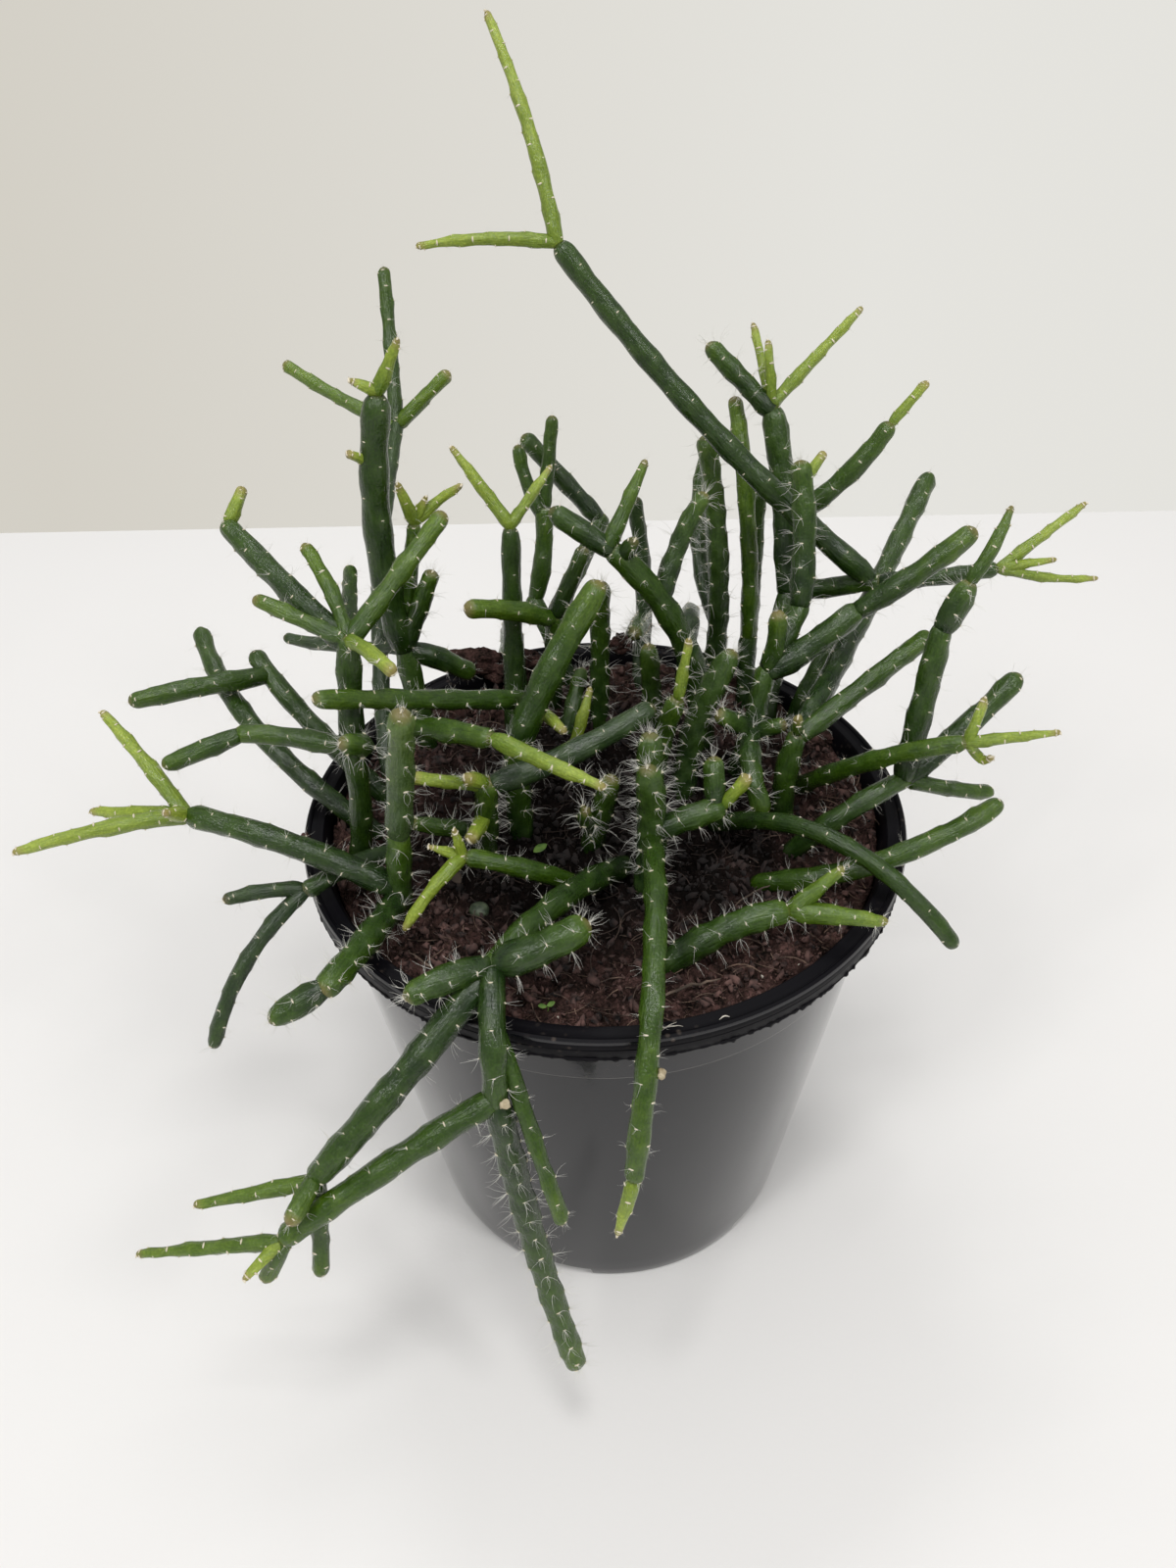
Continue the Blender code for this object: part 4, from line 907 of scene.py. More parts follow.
# name, start, end, sideways bow, diameter, kind. All in mm, as the solids are:
# a start is a point on the soil, a stem to grow from the end of, or that stem and a share of its length
oldStems = {
    "stems_left_front": (
        ("trunk", (-40, -24), (-38, -22, 123), (0, 0, 0), 4.7, "hairy"),
        ("upright", "trunk", (-34, -25, 151), (0, 1, 0), 4.9, "dusty"),
        ("arm", ("trunk", 0.3), (-78, -13, 121), (0, -2, 4), 4.7, "plain"),
        ("low_arm", ("trunk", 0.2), (-50, -52, 114), (1, 0, 1), 5.0, "hairy"),
        ("low_tip", "low_arm", (-59, -54, 110), (0, 0, 0), 4.5, "hairy"),
    ),
    "stems_left_tall": (
        ("trunk", (-49, -9), (-47, -6, 130), (1, 0, 0), 4.4, "smooth"),
        ("upper", "trunk", (-45, -1, 151), (0, 0, 0), 4.6, "plain"),
        ("shoot_left", "upper", (-62, 6, 155), (0, 0, 0), 3.0, "olive"),
        ("shoot_up", "upper", (-53, 14, 161), (1, 0, 0), 2.8, "olive"),
        ("shoot_front", "upper", (-36, -13, 150), (0, 0, 1), 2.7, "limeHairy"),
        ("arm_right", "upper", (-27, 16, 165), (0, 0, 0), 3.7, "olive"),
        ("arm_left", "upper", (-69, 24, 161), (0, 0, -1), 4.5, "plain"),
        ("arm_left_tip", "arm_left", (-65, 28, 166), (0, 0, 0), 2.6, "lime"),
        ("arm_back", "upper", (-47, 24, 150), (0, 0, 0), 3.0, "plain"),
        ("low_arm", ("trunk", 0.97), (-69, -2, 131), (0, 1, 0), 3.9, "green"),
        ("low_tip", "low_arm", (-82, -7, 128), (0, 0, 0), 3.7, "green"),
        ("stub", ("trunk", 0.97), (-47, -16, 138), (3, 0, 0), 4.2, "hairy"),
    ),
    "stem_left_long": (
        ("arm", (-46, -1), (-84, 41, 127), (-5, -4, 3), 4.1, "plain"),
    ),
    "stems_left_back": (
        ("arm", (-44, 9), (-71, 30, 128), (-2, -1, 2), 4.2, "plain"),
        ("side_tip", ("arm", 0.85), (-93, 14, 128), (0, -1, 1), 4.1, "green"),
    ),
    "stems_centre_left": (
        ("trunk", (-41, -14), (-37, -1, 133), (0, 0, 0), 4.2, "plain"),
        ("arm", "trunk", (-20, -13, 135), (0, 0, 0), 4.3, "green"),
        ("low_arm", ("trunk", 0.15), (-57, -25, 111), (1, 1, 1), 3.7, "bloomy"),
        ("low_tip", "low_arm", (-70, -29, 114), (0, 1, 0), 2.8, "bloomy"),
        ("drooping", "low_arm", (-75, -41, 88), (-2, -1, 3), 3.0, "bloomy"),
    ),
    "stems_back_left": (
        ("trunk", (-37, 27), (-40, 33, 127), (0, 0, 0), 5.0, "plain"),
        ("thick", "trunk", (-39, 38, 179), (-3, 0, 0), 6.0, "smooth"),
        ("thick_bud", ("thick", 0.75), (-46, 34, 169), (0, 0, 0), 1.8, "bud"),
        ("thin", "trunk", (-35, 36, 153), (0, 1, 0), 3.3, "green"),
        ("hairy", "trunk", (-32, 32, 144), (0, 0, 0), 4.0, "hairy"),
        ("low", "trunk", (-26, 35, 116), (0, 0, 1), 4.8, "plain"),
        ("side", "trunk", (-68, 46, 121), (0, 1, -2), 2.8, "bloomy"),
    ),
    "stems_far_left": (
        ("arm", (-45, 18), (-42, 90, 151), (-3, 0, 0), 3.6, "bloomy"),
        ("upright", "arm", (-43, 109, 180), (0, 1, 0), 3.2, "green"),
        ("left", "arm", (-69, 105, 160), (0, 0, -1), 3.2, "fresh"),
        ("right", "arm", (-29, 93, 161), (0, 0, 0), 3.4, "fresh"),
    ),
    "stem_centre_tall": (
        ("trunk", (-18, 24), (-16, 38, 150), (0, 2, -1), 4.3, "smooth"),
    ),
    "stems_centre_thick": (
        ("trunk", (-17, -3), (-17, 0, 125), (0, 0, 0), 5.2, "hairy"),
        ("thick", "trunk", (1, 13, 151), (-1, 0, 0), 5.6, "ripening"),
        ("riser", ("trunk", 0.5), (-13, 11, 128), (0, 1, -1), 4.0, "plain"),
        ("arm", "riser", (-51, -12, 145), (0, 0, 0), 3.8, "green"),
        ("bud", ("riser", 0.9), (-7, 2, 124), (0, 0, 0), 2.2, "lime"),
    ),
    "stems_centre_level": (
        ("trunk", (-24, -9), (-22, -13, 126), (0, 0, 0), 4.6, "hairy"),
        ("arm", "trunk", (10, 0, 131), (0, -1, -1), 4.6, "bloomy"),
        ("bud_left", ("trunk", 0.9), (-36, -14, 128), (0, 0, 0), 2.5, "limeHairy"),
        ("low_left", ("trunk", 0.3), (-37, -14, 117), (0, 0, 0), 3.4, "hairy"),
        ("bud_top", "trunk", (-26, -16, 129), (0, 0, 0), 2.8, "limeHairy"),
        ("bud_front", ("trunk", 0.55), (-26, -19, 116), (0, 0, 0), 3.0, "limeHairy"),
    ),
    "stem_centre_front_left": (
        ("arm", (-6, -19), (-27, -24, 117), (2, -2, 2), 3.7, "green"),
    ),
    "stems_centre_small": (
        ("trunk", (-3, -8), (1, -12, 124), (0, 0, 0), 4.4, "hairy"),
        ("side", ("trunk", 0.25), (-4, -14, 118), (-1, 0, 0), 3.0, "hairy"),
    ),
    "stems_centre_front": (
        ("trunk", (7, -20), (7, -18, 131), (1, 1, 0), 5.5, "woolly"),
        ("back", ("trunk", 0.2), (8, -12, 134), (0, 1, 0), 5.0, "woolly"),
        ("hanging", ("trunk", 0.4), (0, -74, 88), (1, -8, 15), 4.0, "green"),
        ("side", ("trunk", 0.45), (22, -16, 119), (0, -1, 1), 4.8, "hairy"),
        ("side_bud", "side", (26, -16, 126), (0, 0, 0), 2.6, "limeHairy"),
        ("side_up", ("side", 0.85), (20, -11, 127), (0, 0, 0), 4.0, "hairy"),
    ),
    "stems_front_left": (
        ("trunk", (3, -14), (-23, -50, 114), (0, 0, 4), 4.7, "plain"),
        ("short_right", "trunk", (-5, -46, 121), (0, -1, 0), 5.9, "hairy"),
        ("short_left", "trunk", (-36, -55, 115), (0, 0, 1), 4.8, "hairy"),
        ("left", "trunk", (-54, -69, 86), (0, -3, 2), 5.3, "plain"),
        ("left_olive", "left", (-57, -77, 86), (0, 0, 0), 3.5, "olive"),
        ("left_down", "left", (-55, -75, 66), (0, 1, 0), 3.2, "green"),
        ("down", "trunk", (-22, -65, 98), (0, -3, 3), 4.6, "plain"),
        ("down_long", "down", (-11, -79, 34), (-1, 1, -1), 4.7, "hairy"),
        ("down_left", "down", (-60, -75, 78), (0, 0, 1), 4.6, "green"),
        ("down_left_tip", "down_left", (-64, -77, 69), (0, 0, 0), 3.1, "olive"),
        ("down_thin", ("down", 0.35), (-12, -75, 78), (0, -1, 1), 2.9, "green"),
    ),
    "stem_front_right": (
        ("arm", (9, -40), (31, -37, 112), (-1, 0, 2), 5.2, "hairy"),
    ),
    "stem_right_arching": (
        ("arm", (22, -4), (62, -38, 101), (-1, -3, 14), 3.5, "smooth"),
    ),
    "stem_right_front": (
        ("arm", (29, -20), (73, -19, 119), (-1, -6, 1), 4.1, "green"),
    ),
    "stems_right_forked": (
        ("trunk", (36, -13), (59, -8, 117), (-1, -3, 4), 4.1, "plain"),
        ("outer", "trunk", (81, 3, 132), (0, 0, -1), 4.5, "plain"),
        ("outer_low", "trunk", (76, -8, 112), (0, -1, 0), 3.1, "green"),
        ("upright", "trunk", (62, -2, 148), (0, 0, 0), 4.7, "plain"),
        ("upright_tip", "upright", (66, -1, 156), (0, 0, 0), 4.6, "hairy"),
    ),
    "stem_right_crossing": (
        ("arm", (40, 6), (65, -17, 132), (-2, -3, 4), 3.7, "green"),
    ),
    "stems_right_leaning": (
        ("trunk", (36, -3), (38, -1, 124), (-1, 0, 0), 4.6, "plain"),
        ("long", "trunk", (76, 59, 147), (0, 1, -4), 4.6, "plain"),
        ("mid", "trunk", (66, 14, 135), (0, 0, 0), 4.1, "green"),
        ("bud", "trunk", (37, -3, 129), (0, 0, 0), 2.0, "olive"),
    ),
    "stem_right_back_low": (
        ("arm", (43, 26), (59, 39, 124), (-2, -2, 4), 3.8, "plain"),
    ),
    "stems_right_inner": (
        ("trunk", (29, 13), (31, 8, 119), (0, 0, 0), 4.4, "plain"),
        ("stub_left", "trunk", (23, 6, 124), (0, 0, 0), 4.0, "hairy"),
        ("stub_right", "trunk", (37, 5, 121), (0, 0, 0), 3.7, "hairy"),
        ("drooping", "trunk", (31, -9, 110), (-2, -3, 3), 4.2, "hairy"),
        ("riser", "trunk", (34, 14, 130), (0, 0, 0), 4.3, "hairy"),
        ("riser_tip", "riser", (35, 14, 142), (1, 0, 0), 3.8, "ripening"),
        ("middle", "riser", (42, 22, 139), (0, 0, 0), 4.6, "plain"),
        ("top", "middle", (41, 33, 164), (1, 0, 0), 4.7, "hairy"),
        ("top_bud", ("top", 0.85), (46, 34, 165), (0, 0, 0), 2.0, "lime"),
        ("out", "riser", (53, 19, 139), (0, -1, 0), 5.2, "plain"),
        ("out_tip", "out", (73, 19, 155), (0, -1, 0), 4.5, "ripening"),
    ),
    "stem_inner_hairy": (
        ("arm", (17, 7), (27, 13, 134), (-2, 0, 1), 5.3, "woolly"),
    ),
    "stem_inner_thin": (
        ("arm", (10, 3), (15, 4, 130), (-1, 1, 0), 4.2, "hairy"),
    ),
    "stems_tallest": (
        ("trunk", (36, 26), (43, 40, 132), (0, 0, 0), 5.4, "smooth"),
        ("middle", "trunk", (39, 55, 166), (1, 0, 0), 5.6, "plain"),
        ("middle_tip", "middle", (26, 61, 177), (0, 0, 0), 4.2, "hairy"),
        ("middle_side", ("middle", 0.4), (62, 46, 165), (1, -1, -1), 4.2, "green"),
        ("middle_side_bud", "middle_side", (69, 49, 172), (0, 0, 0), 2.0, "lime"),
        ("right", "trunk", (60, 30, 138), (0, 0, 0), 4.1, "plain"),
        ("right_out", "right", (82, 26, 142), (0, -1, 0), 3.5, "plain"),
        ("long", "right", (-4, 57, 199), (-2, 0, -2), 4.7, "smooth"),
    ),
    "stems_back_upright": (
        ("trunk", (27, 39), (25, 51, 162), (2, -1, 0), 4.6, "hairy"),
        ("far", ("trunk", 0.3), (28, 67, 151), (-3, 2, -1), 3.7, "plain"),
    ),
    "stems_back_upright_right": (
        ("trunk", (34, 36), (38, 57, 146), (0, 0, 0), 4.0, "plain"),
        ("middle", ("trunk", 0.3), (32, 60, 166), (1, -3, 0), 3.7, "olive"),
    ),
    "stems_centre_back": (
        ("trunk", (23, 23), (3, 24, 152), (5, 1, 2), 5.3, "plain"),
        ("tip_left", "trunk", (-8, 27, 159), (0, 0, 0), 4.4, "plain"),
        ("tip_front", ("trunk", 0.93), (8, 21, 155), (0, 0, 0), 3.0, "plain"),
        ("side", ("trunk", 0.68), (23, 33, 158), (-1, 1, 0), 3.9, "hairy"),
    ),
    "stem_back_blurred": (
        ("arm", (11, 46), (11, 62, 143), (2, 3, -1), 3.8, "bloomy"),
        ("stub", ("arm", 0.35), (9, 36, 124), (0, 0, 0), 4.2, "woolly"),
    ),
    "stem_back_short": (
        ("arm", (1, 31), (2, 33, 139), (0, 1, 0), 4.2, "hairy"),
    ),
    "stems_back_forked": (
        ("trunk", (-9, 39), (-8, 33, 132), (0, 0, 0), 4.0, "plain"),
        ("left", "trunk", (-26, 25, 139), (0, 0, 1), 4.2, "olive"),
        ("right", "trunk", (-1, 35, 146), (0, 0, 0), 3.6, "plain"),
    ),
    "stems_back_far": (
        ("trunk", (-5, 47), (-13, 59, 121), (0, 0, 2), 4.3, "plain"),
        ("upper", "trunk", (-9, 66, 140), (1, 0, 0), 4.2, "green"),
        ("thin", "upper", (-6, 73, 158), (0, 0, 0), 3.1, "green"),
        ("long_right", ("trunk", 0.6), (5, 72, 134), (0, 0, 0), 4.2, "plain"),
        ("long_left", "long_right", (-13, 79, 151), (0, 0, 0), 4.2, "plain"),
        ("bud", ("upper", 0.85), (-14, 72, 152), (-1, 0, 0), 3.1, "green"),
    ),
    "stem_back_low": (
        ("arm", (13, 31), (12, 35, 122), (0, 0, 0), 4.4, "hairy"),
    ),
    "stem_low_stub": (
        ("arm", (-6, 30), (-2, 40, 113), (0, 0, 1), 3.6, "hairy"),
    ),
    "stem_behind_left": (
        ("arm", (-17, 42), (-21, 84, 84), (1, 0, 16), 4.2, "plain"),
    ),
    "stem_behind_right": (
        ("arm", (21, 42), (27, 86, 82), (1, 0, 18), 4.4, "plain"),
    ),
    "shoot_low_centre": (
        ("arm", (-6, 20), (-1, 27, 117), (0, -1, 0), 2.6, "lime"),
    ),
}

# Young shoots: the stem they grow on, then end, bow, diameter and kind of each
youngShoots = {
    "shoots_left_front": ("stems_left_front", "arm", (
        ((-94, 3, 134), (0, 0, 1), 3.0, "lime"),
        ((-98, -7, 118), (0, 0, 0), 3.0, "lime"),
        ((-108, -20, 120), (0, 0, 1), 3.2, "lime"),
        ((-80, -18, 126), (0, 0, 0), 3.0, "bud"),
    )),
    "shoots_thick_stem": ("stems_back_left", "thick", (
        ((-34, 38, 189), (0, 0, 0), 2.7, "limeHairy"),
        ((-44, 37, 182), (0, 0, 0), 2.2, "bud"),
    )),
    "shoots_thin_stem": ("stems_back_left", "thin", (
        ((-37, 33, 163), (0, 0, 0), 2.6, "lime"),
        ((-32, 37, 158), (0, 0, 0), 2.2, "lime"),
        ((-25, 39, 159), (0, 1, 0), 2.4, "lime"),
    )),
    "shoots_centre_tall": ("stem_centre_tall", "trunk", (
        ((-27, 46, 164), (0, 0, 0), 2.7, "lime"),
        ((-7, 46, 159), (0, 0, 0), 2.4, "lime"),
    )),
    "shoot_centre_left": ("stems_centre_left", "arm", (
        ((-1, -27, 134), (0, 0, 0), 3.2, "limeHairy"),
    )),
    "shoots_centre_front": ("stem_centre_front_left", "arm", (
        ((-38, -34, 109), (0, -1, 2), 2.7, "lime"),
        ((-33, -24, 120), (0, 0, 0), 2.0, "bud"),
        ((-28, -24, 124), (0, 0, 0), 2.0, "bud"),
    )),
    "shoot_hanging": ("stems_centre_front", "hanging", (
        ((-3, -77, 77), (0, 0, 0), 2.5, "lime"),
    )),
    "shoot_left_low": ("stems_front_left", "left", (
        ((-75, -69, 81), (0, 0, 0), 2.8, "fresh"),
    )),
    "shoots_lowest": ("stems_front_left", "down_left", (
        ((-87, -71, 70), (0, 0, 0), 2.7, "fresh"),
        ((-66, -80, 75), (0, 0, 0), 2.2, "bud"),
    )),
    "shoots_front_right": ("stem_front_right", "arm", (
        ((40, -35, 120), (0, 0, 0), 3.1, "freshHairy"),
        ((47, -42, 113), (0, 0, 0), 3.8, "freshHairy"),
    )),
    "shoot_right_upright": ("stems_right_forked", "upright_tip", (
        ((73, 5, 167), (0, -1, 0), 2.6, "olive"),
    )),
    "shoots_right_crossing": ("stem_right_crossing", "arm", (
        ((68, -13, 139), (0, 0, 0), 2.2, "lime"),
        ((81, -18, 134), (0, 0, 0), 2.2, "lime"),
        ((69, -19, 130), (1, 1, -3), 2.0, "lime"),
    )),
    "shoot_inner": ("stem_inner_thin", "arm", (
        ((17, 6, 142), (0, 0, 0), 2.3, "limeHairy"),
    )),
    "shoots_tall_middle": ("stems_tallest", "middle", (
        ((58, 64, 182), (0, 0, 0), 2.7, "lime"),
        ((36, 66, 179), (0, 0, 0), 2.3, "lime"),
        ((38, 59, 178), (0, -1, 0), 2.3, "limeHairy"),
    )),
    "shoots_right_far": ("stems_tallest", "right_out", (
        ((100, 33, 152), (0, 0, 0), 2.4, "lime"),
        ((93, 25, 144), (0, 0, 0), 2.0, "lime"),
        ((101, 22, 141), (0, 0, -1), 2.0, "lime"),
    )),
    "shoots_topmost": ("stems_tallest", "long", (
        ((-15, 78, 234), (1, -1, 1), 2.9, "lime"),
        ((-31, 61, 198), (0, 0, 1), 2.6, "lime"),
    )),
    "shoot_centre_back": ("stems_centre_back", "trunk", (
        ((11, 32, 166), (0, 0, 0), 3.1, "olive"),
    )),
}

shapeValues = {
    # radius of a tip, a neck and a shoot's foot as shares of the stem's
    "oldTip": 0.9,
    "youngTip": 0.5,
    "neck": 0.7,
    "shootFoot": 0.6,
    # how far a stem starts inside the one that carries it: a share of its diameter, or mm for a shoot
    "jointSink": 0.45,
    "shootSink": 0.9,
    "rootDepth": 3.0,
    # lengths of neck and dome: above the soil in mm, by the stem's width, and at most by its length
    "rootNeck": 4.0,
    "neckLength": 0.9,
    "longestNeck": 0.45,
    "oldDome": 1.25,
    "youngDome": 1.5,
    "longestDome": 0.4,
    "ringStep": 0.8,
    "tipRings": 6,
    "oldSides": 20,
    "youngSides": 16,
    "linePoints": 65,
    "frameReach": 0.4,
    "firstSide": (0.31, 0.95, 0.05),
    "turn": math.radians(144),
    "swell": 0.05,
    "swellPitch": 0.55,
    "firmShare": 0.6,
    "youthPower": 1.5,
    "seed": 3,
}

tuftValues = {
    # free lengths at the root, at a joint and at the tip
    "rootBare": 2.0,
    "jointBare": 0.35,
    "tipBare": 0.8,
    "onKnob": 0.8,
    "lengths": (0.75, 1.2),
    # cushion size in mm when pale, and what full brown adds
    "pad": (0.20, 0.08),
    "tipPad": (0.25, 0.22),
    "crownPad": (0.16, 0.14),
    "tipLength": 0.9,
    "crownLength": 0.8,
    "crownTufts": 4,
    "crownDrop": 0.9,
    "tipInset": 0.15,
    # how far out a crown tuft sits, as a share of the radius, and how it leans out and ahead
    "crownReach": 0.95,
    "crownLean": (0.6, 0.8),
    # where the pieces of tufts part, along x and y
    "split": (0.0, 0.0),
}


def curveLine(start, end, bow):
    start, end = np.array(start, float), np.array(end, float)
    control = (start + end) / 2 + 2 * np.array(bow, float)
    share = np.linspace(0, 1, shapeValues["linePoints"])[:, None]
    return (1 - share) ** 2 * start + 2 * share * (1 - share) * control + share ** 2 * end


def walked(line):
    return np.concatenate(([0.0], np.cumsum(np.linalg.norm(np.diff(line, axis=0), axis=1))))


def along(line, distances):
    steps = walked(line)
    return np.stack([np.interp(distances, steps, line[:, axis]) for axis in range(3)], axis=1)


def planStems():
    # every stem as node, centre line, diameter, kind, tip share and whether it stands in the soil
    v = shapeValues
    lines, plan = {}, []
    for node, stems in oldStems.items():
        tip = v["youngTip"] if node.startswith("shoot") else v["oldTip"]
        for name, start, end, bow, diameter, kind in stems:
            rooted = not isinstance(start[0], str)
            if rooted:
                foot = (start[0], start[1], soilHeight(*start))
            elif isinstance(start, str):
                line = lines[node, start]
                foot = along(line, [walked(line)[-1] - v["jointSink"] * diameter])[0]
            else:
                line = lines[node, start[0]]
                foot = along(line, [start[1] * walked(line)[-1]])[0]
            line = curveLine(foot, end, bow)
            lines[node, name] = line
            if rooted:
                lean = line[1] - line[0]
                lean = lean / np.linalg.norm(lean) + np.array((0, 0, 1))
                line = np.vstack((line[0] - v["rootDepth"] * lean / np.linalg.norm(lean), line))
            plan.append((node, line, diameter, kind, tip, rooted))
    for node, (parentNode, parent, shoots) in youngShoots.items():
        for end, bow, diameter, kind in shoots:
            line = curveLine(lines[parentNode, parent][-1], end, bow)
            back = line[0] - line[1]
            line = np.vstack((line[0] + back / np.linalg.norm(back) * v["shootSink"], line))
            plan.append((node, line, diameter, kind, v["youngTip"], False))
    return plan


def stemRings(line, diameter, tip, rooted):
    # distances along a stem and its radius there: narrow neck, full body, domed tip
    v = shapeValues
    length = walked(line)[-1]
    radius = diameter / 2
    if rooted:
        neckEnd = v["rootDepth"] + v["rootNeck"]
    else:
        neckEnd = min(v["neckLength"] * diameter, v["longestNeck"] * length)
    domeShape = v["oldDome"] if tip == v["oldTip"] else v["youngDome"]
    dome = min(domeShape * (radius * tip), v["longestDome"] * length)
    bodyEnd = length - dome
    steps = max(6, round(bodyEnd / v["ringStep"]))
    body = np.linspace(0, bodyEnd, steps)
    end = bodyEnd + dome * np.sin(np.linspace(0, math.pi / 2, v["tipRings"] + 1)[1:])
    distances = np.concatenate((body, end))
    share = np.clip((distances - neckEnd) / max(bodyEnd - neckEnd, 0.1), 0, 1)
    radii = radius * (1 - (1 - tip) * share ** 2)
    neck = np.clip(distances / neckEnd, 0, 1)
    radii *= v["neck"] + (1 - v["neck"]) * neck * (2 - neck)
    if not rooted:
        radii[0] *= v["shootFoot"]
    radii *= 1 + v["swell"] * np.sin(distances * v["swellPitch"] + length)
    inDome = np.clip((distances - bodyEnd) / dome, 0, 1)
    radii *= np.sqrt(np.clip(1 - inDome ** 2, 0.0004, 1))
    return distances, radii, length


def crossFrames(line, distances):
    # the way ahead and a steady sideways direction at each distance
    v = shapeValues
    if not len(distances):
        return np.zeros((0, 3)), np.zeros((0, 3))
    ahead = along(line, distances + v["frameReach"])
    behind = along(line, np.maximum(distances - v["frameReach"], 0))
    tangents = ahead - behind
    tangents /= np.linalg.norm(tangents, axis=1)[:, None]
    across = []
    side = np.cross(tangents[0], v["firstSide"])
    for tangent in tangents:
        side = side - tangent * side.dot(tangent)
        side = side / np.linalg.norm(side)
        across.append(side)
    return tangents, np.array(across)


class Gather:
    # collects point values for one base mesh
    def __init__(self, names):
        self.values = {name: [] for name in names}
        self.places = []
        self.edges = []

    def add(self, places, **values):
        start = len(self.places)
        self.places += [Vector(p) * mm for p in places]
        for name, value in values.items():
            if np.ndim(value) == 0:
                value = [value] * len(places)
            self.values[name] += list(value)
        return start

    def mesh(self, name):
        mesh = bpy.data.meshes.new(name)
        mesh.from_pydata(self.places, self.edges, [])
        for label, values in self.values.items():
            isVector = np.ndim(values[0]) == 1
            layer = mesh.attributes.new(label, "FLOAT_VECTOR" if isVector else "FLOAT", "POINT")
            flat = np.ravel(values).astype(np.float32)
            layer.data.foreach_set("vector" if isVector else "value", flat)
        return mesh


def buildSkinTree():
    # sweeps a round section along the wires and raises a shoulder below every areole
    tree, given, out = geometryTree("stemSkin", [
        ("Sides", "Int", 20),
        ("Rows", "Float", 5.0),
        ("Shoulder Before", "Float", 1.6),
        ("Shoulder After", "Float", 0.55),
        ("Shoulder Spread", "Float", 0.55),
        ("Lumps", "Float", 0.42 * mm),
        ("Rib", "Float", 0.03 * mm),
        ("Wrinkle Pitch", "Float", 0.09),
        ("Skin Material", "Material", None),
    ])

    def bell(value, width):
        ratio = calc(tree, "DIVIDE", value, width)
        return calc(tree, "EXPONENT", times(tree, times(tree, ratio, ratio), -1.0))

    wires = put(tree, "GeometryNodeMeshToCurve", {"Mesh": given["Geometry"]}).outputs["Curve"]
    tube = swept(tree, wires, given["Sides"], named(tree, "thick"))
    place = put(tree, "GeometryNodeInputPosition").outputs["Position"]
    forward = named(tree, "forward", "FLOAT_VECTOR")
    across = named(tree, "across", "FLOAT_VECTOR")
    outward = vectorCalc(tree, "SUBTRACT", place, named(tree, "centre", "FLOAT_VECTOR"))
    third = vectorCalc(tree, "CROSS_PRODUCT", forward, across)

    # the place around and along the stem, in rows and cycles of areoles
    angle = calc(tree, "ARCTAN2", vectorCalc(tree, "DOT_PRODUCT", outward, third),
                 vectorCalc(tree, "DOT_PRODUCT", outward, across))
    angle = plus(tree, angle, named(tree, "twist"))
    rowTurn = calc(tree, "DIVIDE", fullTurn, given["Rows"])
    row = calc(tree, "ROUND", calc(tree, "DIVIDE", angle, rowTurn))
    aside = minus(tree, angle, times(tree, row, rowTurn))
    step = named(tree, "step")
    passed = calc(tree, "DIVIDE", named(tree, "along"), step)
    cycles = calc(tree, "DIVIDE", minus(tree, passed, times(tree, row, 3.0)), given["Rows"])
    past = times(tree, minus(tree, cycles, calc(tree, "ROUND", cycles)), times(tree, step, given["Rows"]))
    isPast = calc(tree, "GREATER_THAN", past, 0.0)
    reach = plus(tree, times(tree, isPast, given["Shoulder After"]),
                 times(tree, minus(tree, 1.0, isPast), given["Shoulder Before"]))
    shoulder = times(tree, bell(aside, given["Shoulder Spread"]), bell(past, reach))

    # shoulders, slow lumps and faint ribs, all less on a thin tip
    rise = times(tree, shoulder, named(tree, "knob"))
    wave = times(tree, minus(tree, cloudy(tree, place, 240.0, 1.0), 0.5), given["Lumps"])
    rib = times(tree, calc(tree, "COSINE", times(tree, angle, given["Rows"])), given["Rib"])
    rise = plus(tree, plus(tree, rise, wave), rib)
    rise = times(tree, rise, named(tree, "firm"))
    offset = scaled(tree, vectorCalc(tree, "NORMALIZE", outward), rise)
    shaped = put(tree, "GeometryNodeSetPosition", {"Geometry": tube, "Offset": offset}).outputs["Geometry"]
    marked = stored(tree, shaped, "shoulder", shoulder)
    around = combined(tree, calc(tree, "COSINE", angle), calc(tree, "SINE", angle),
                      times(tree, named(tree, "along"), given["Wrinkle Pitch"]))
    marked = stored(tree, marked, "around", around, "FLOAT_VECTOR")
    tree.links.new(painted(tree, marked, given["Skin Material"]), out["Geometry"])
    return tree


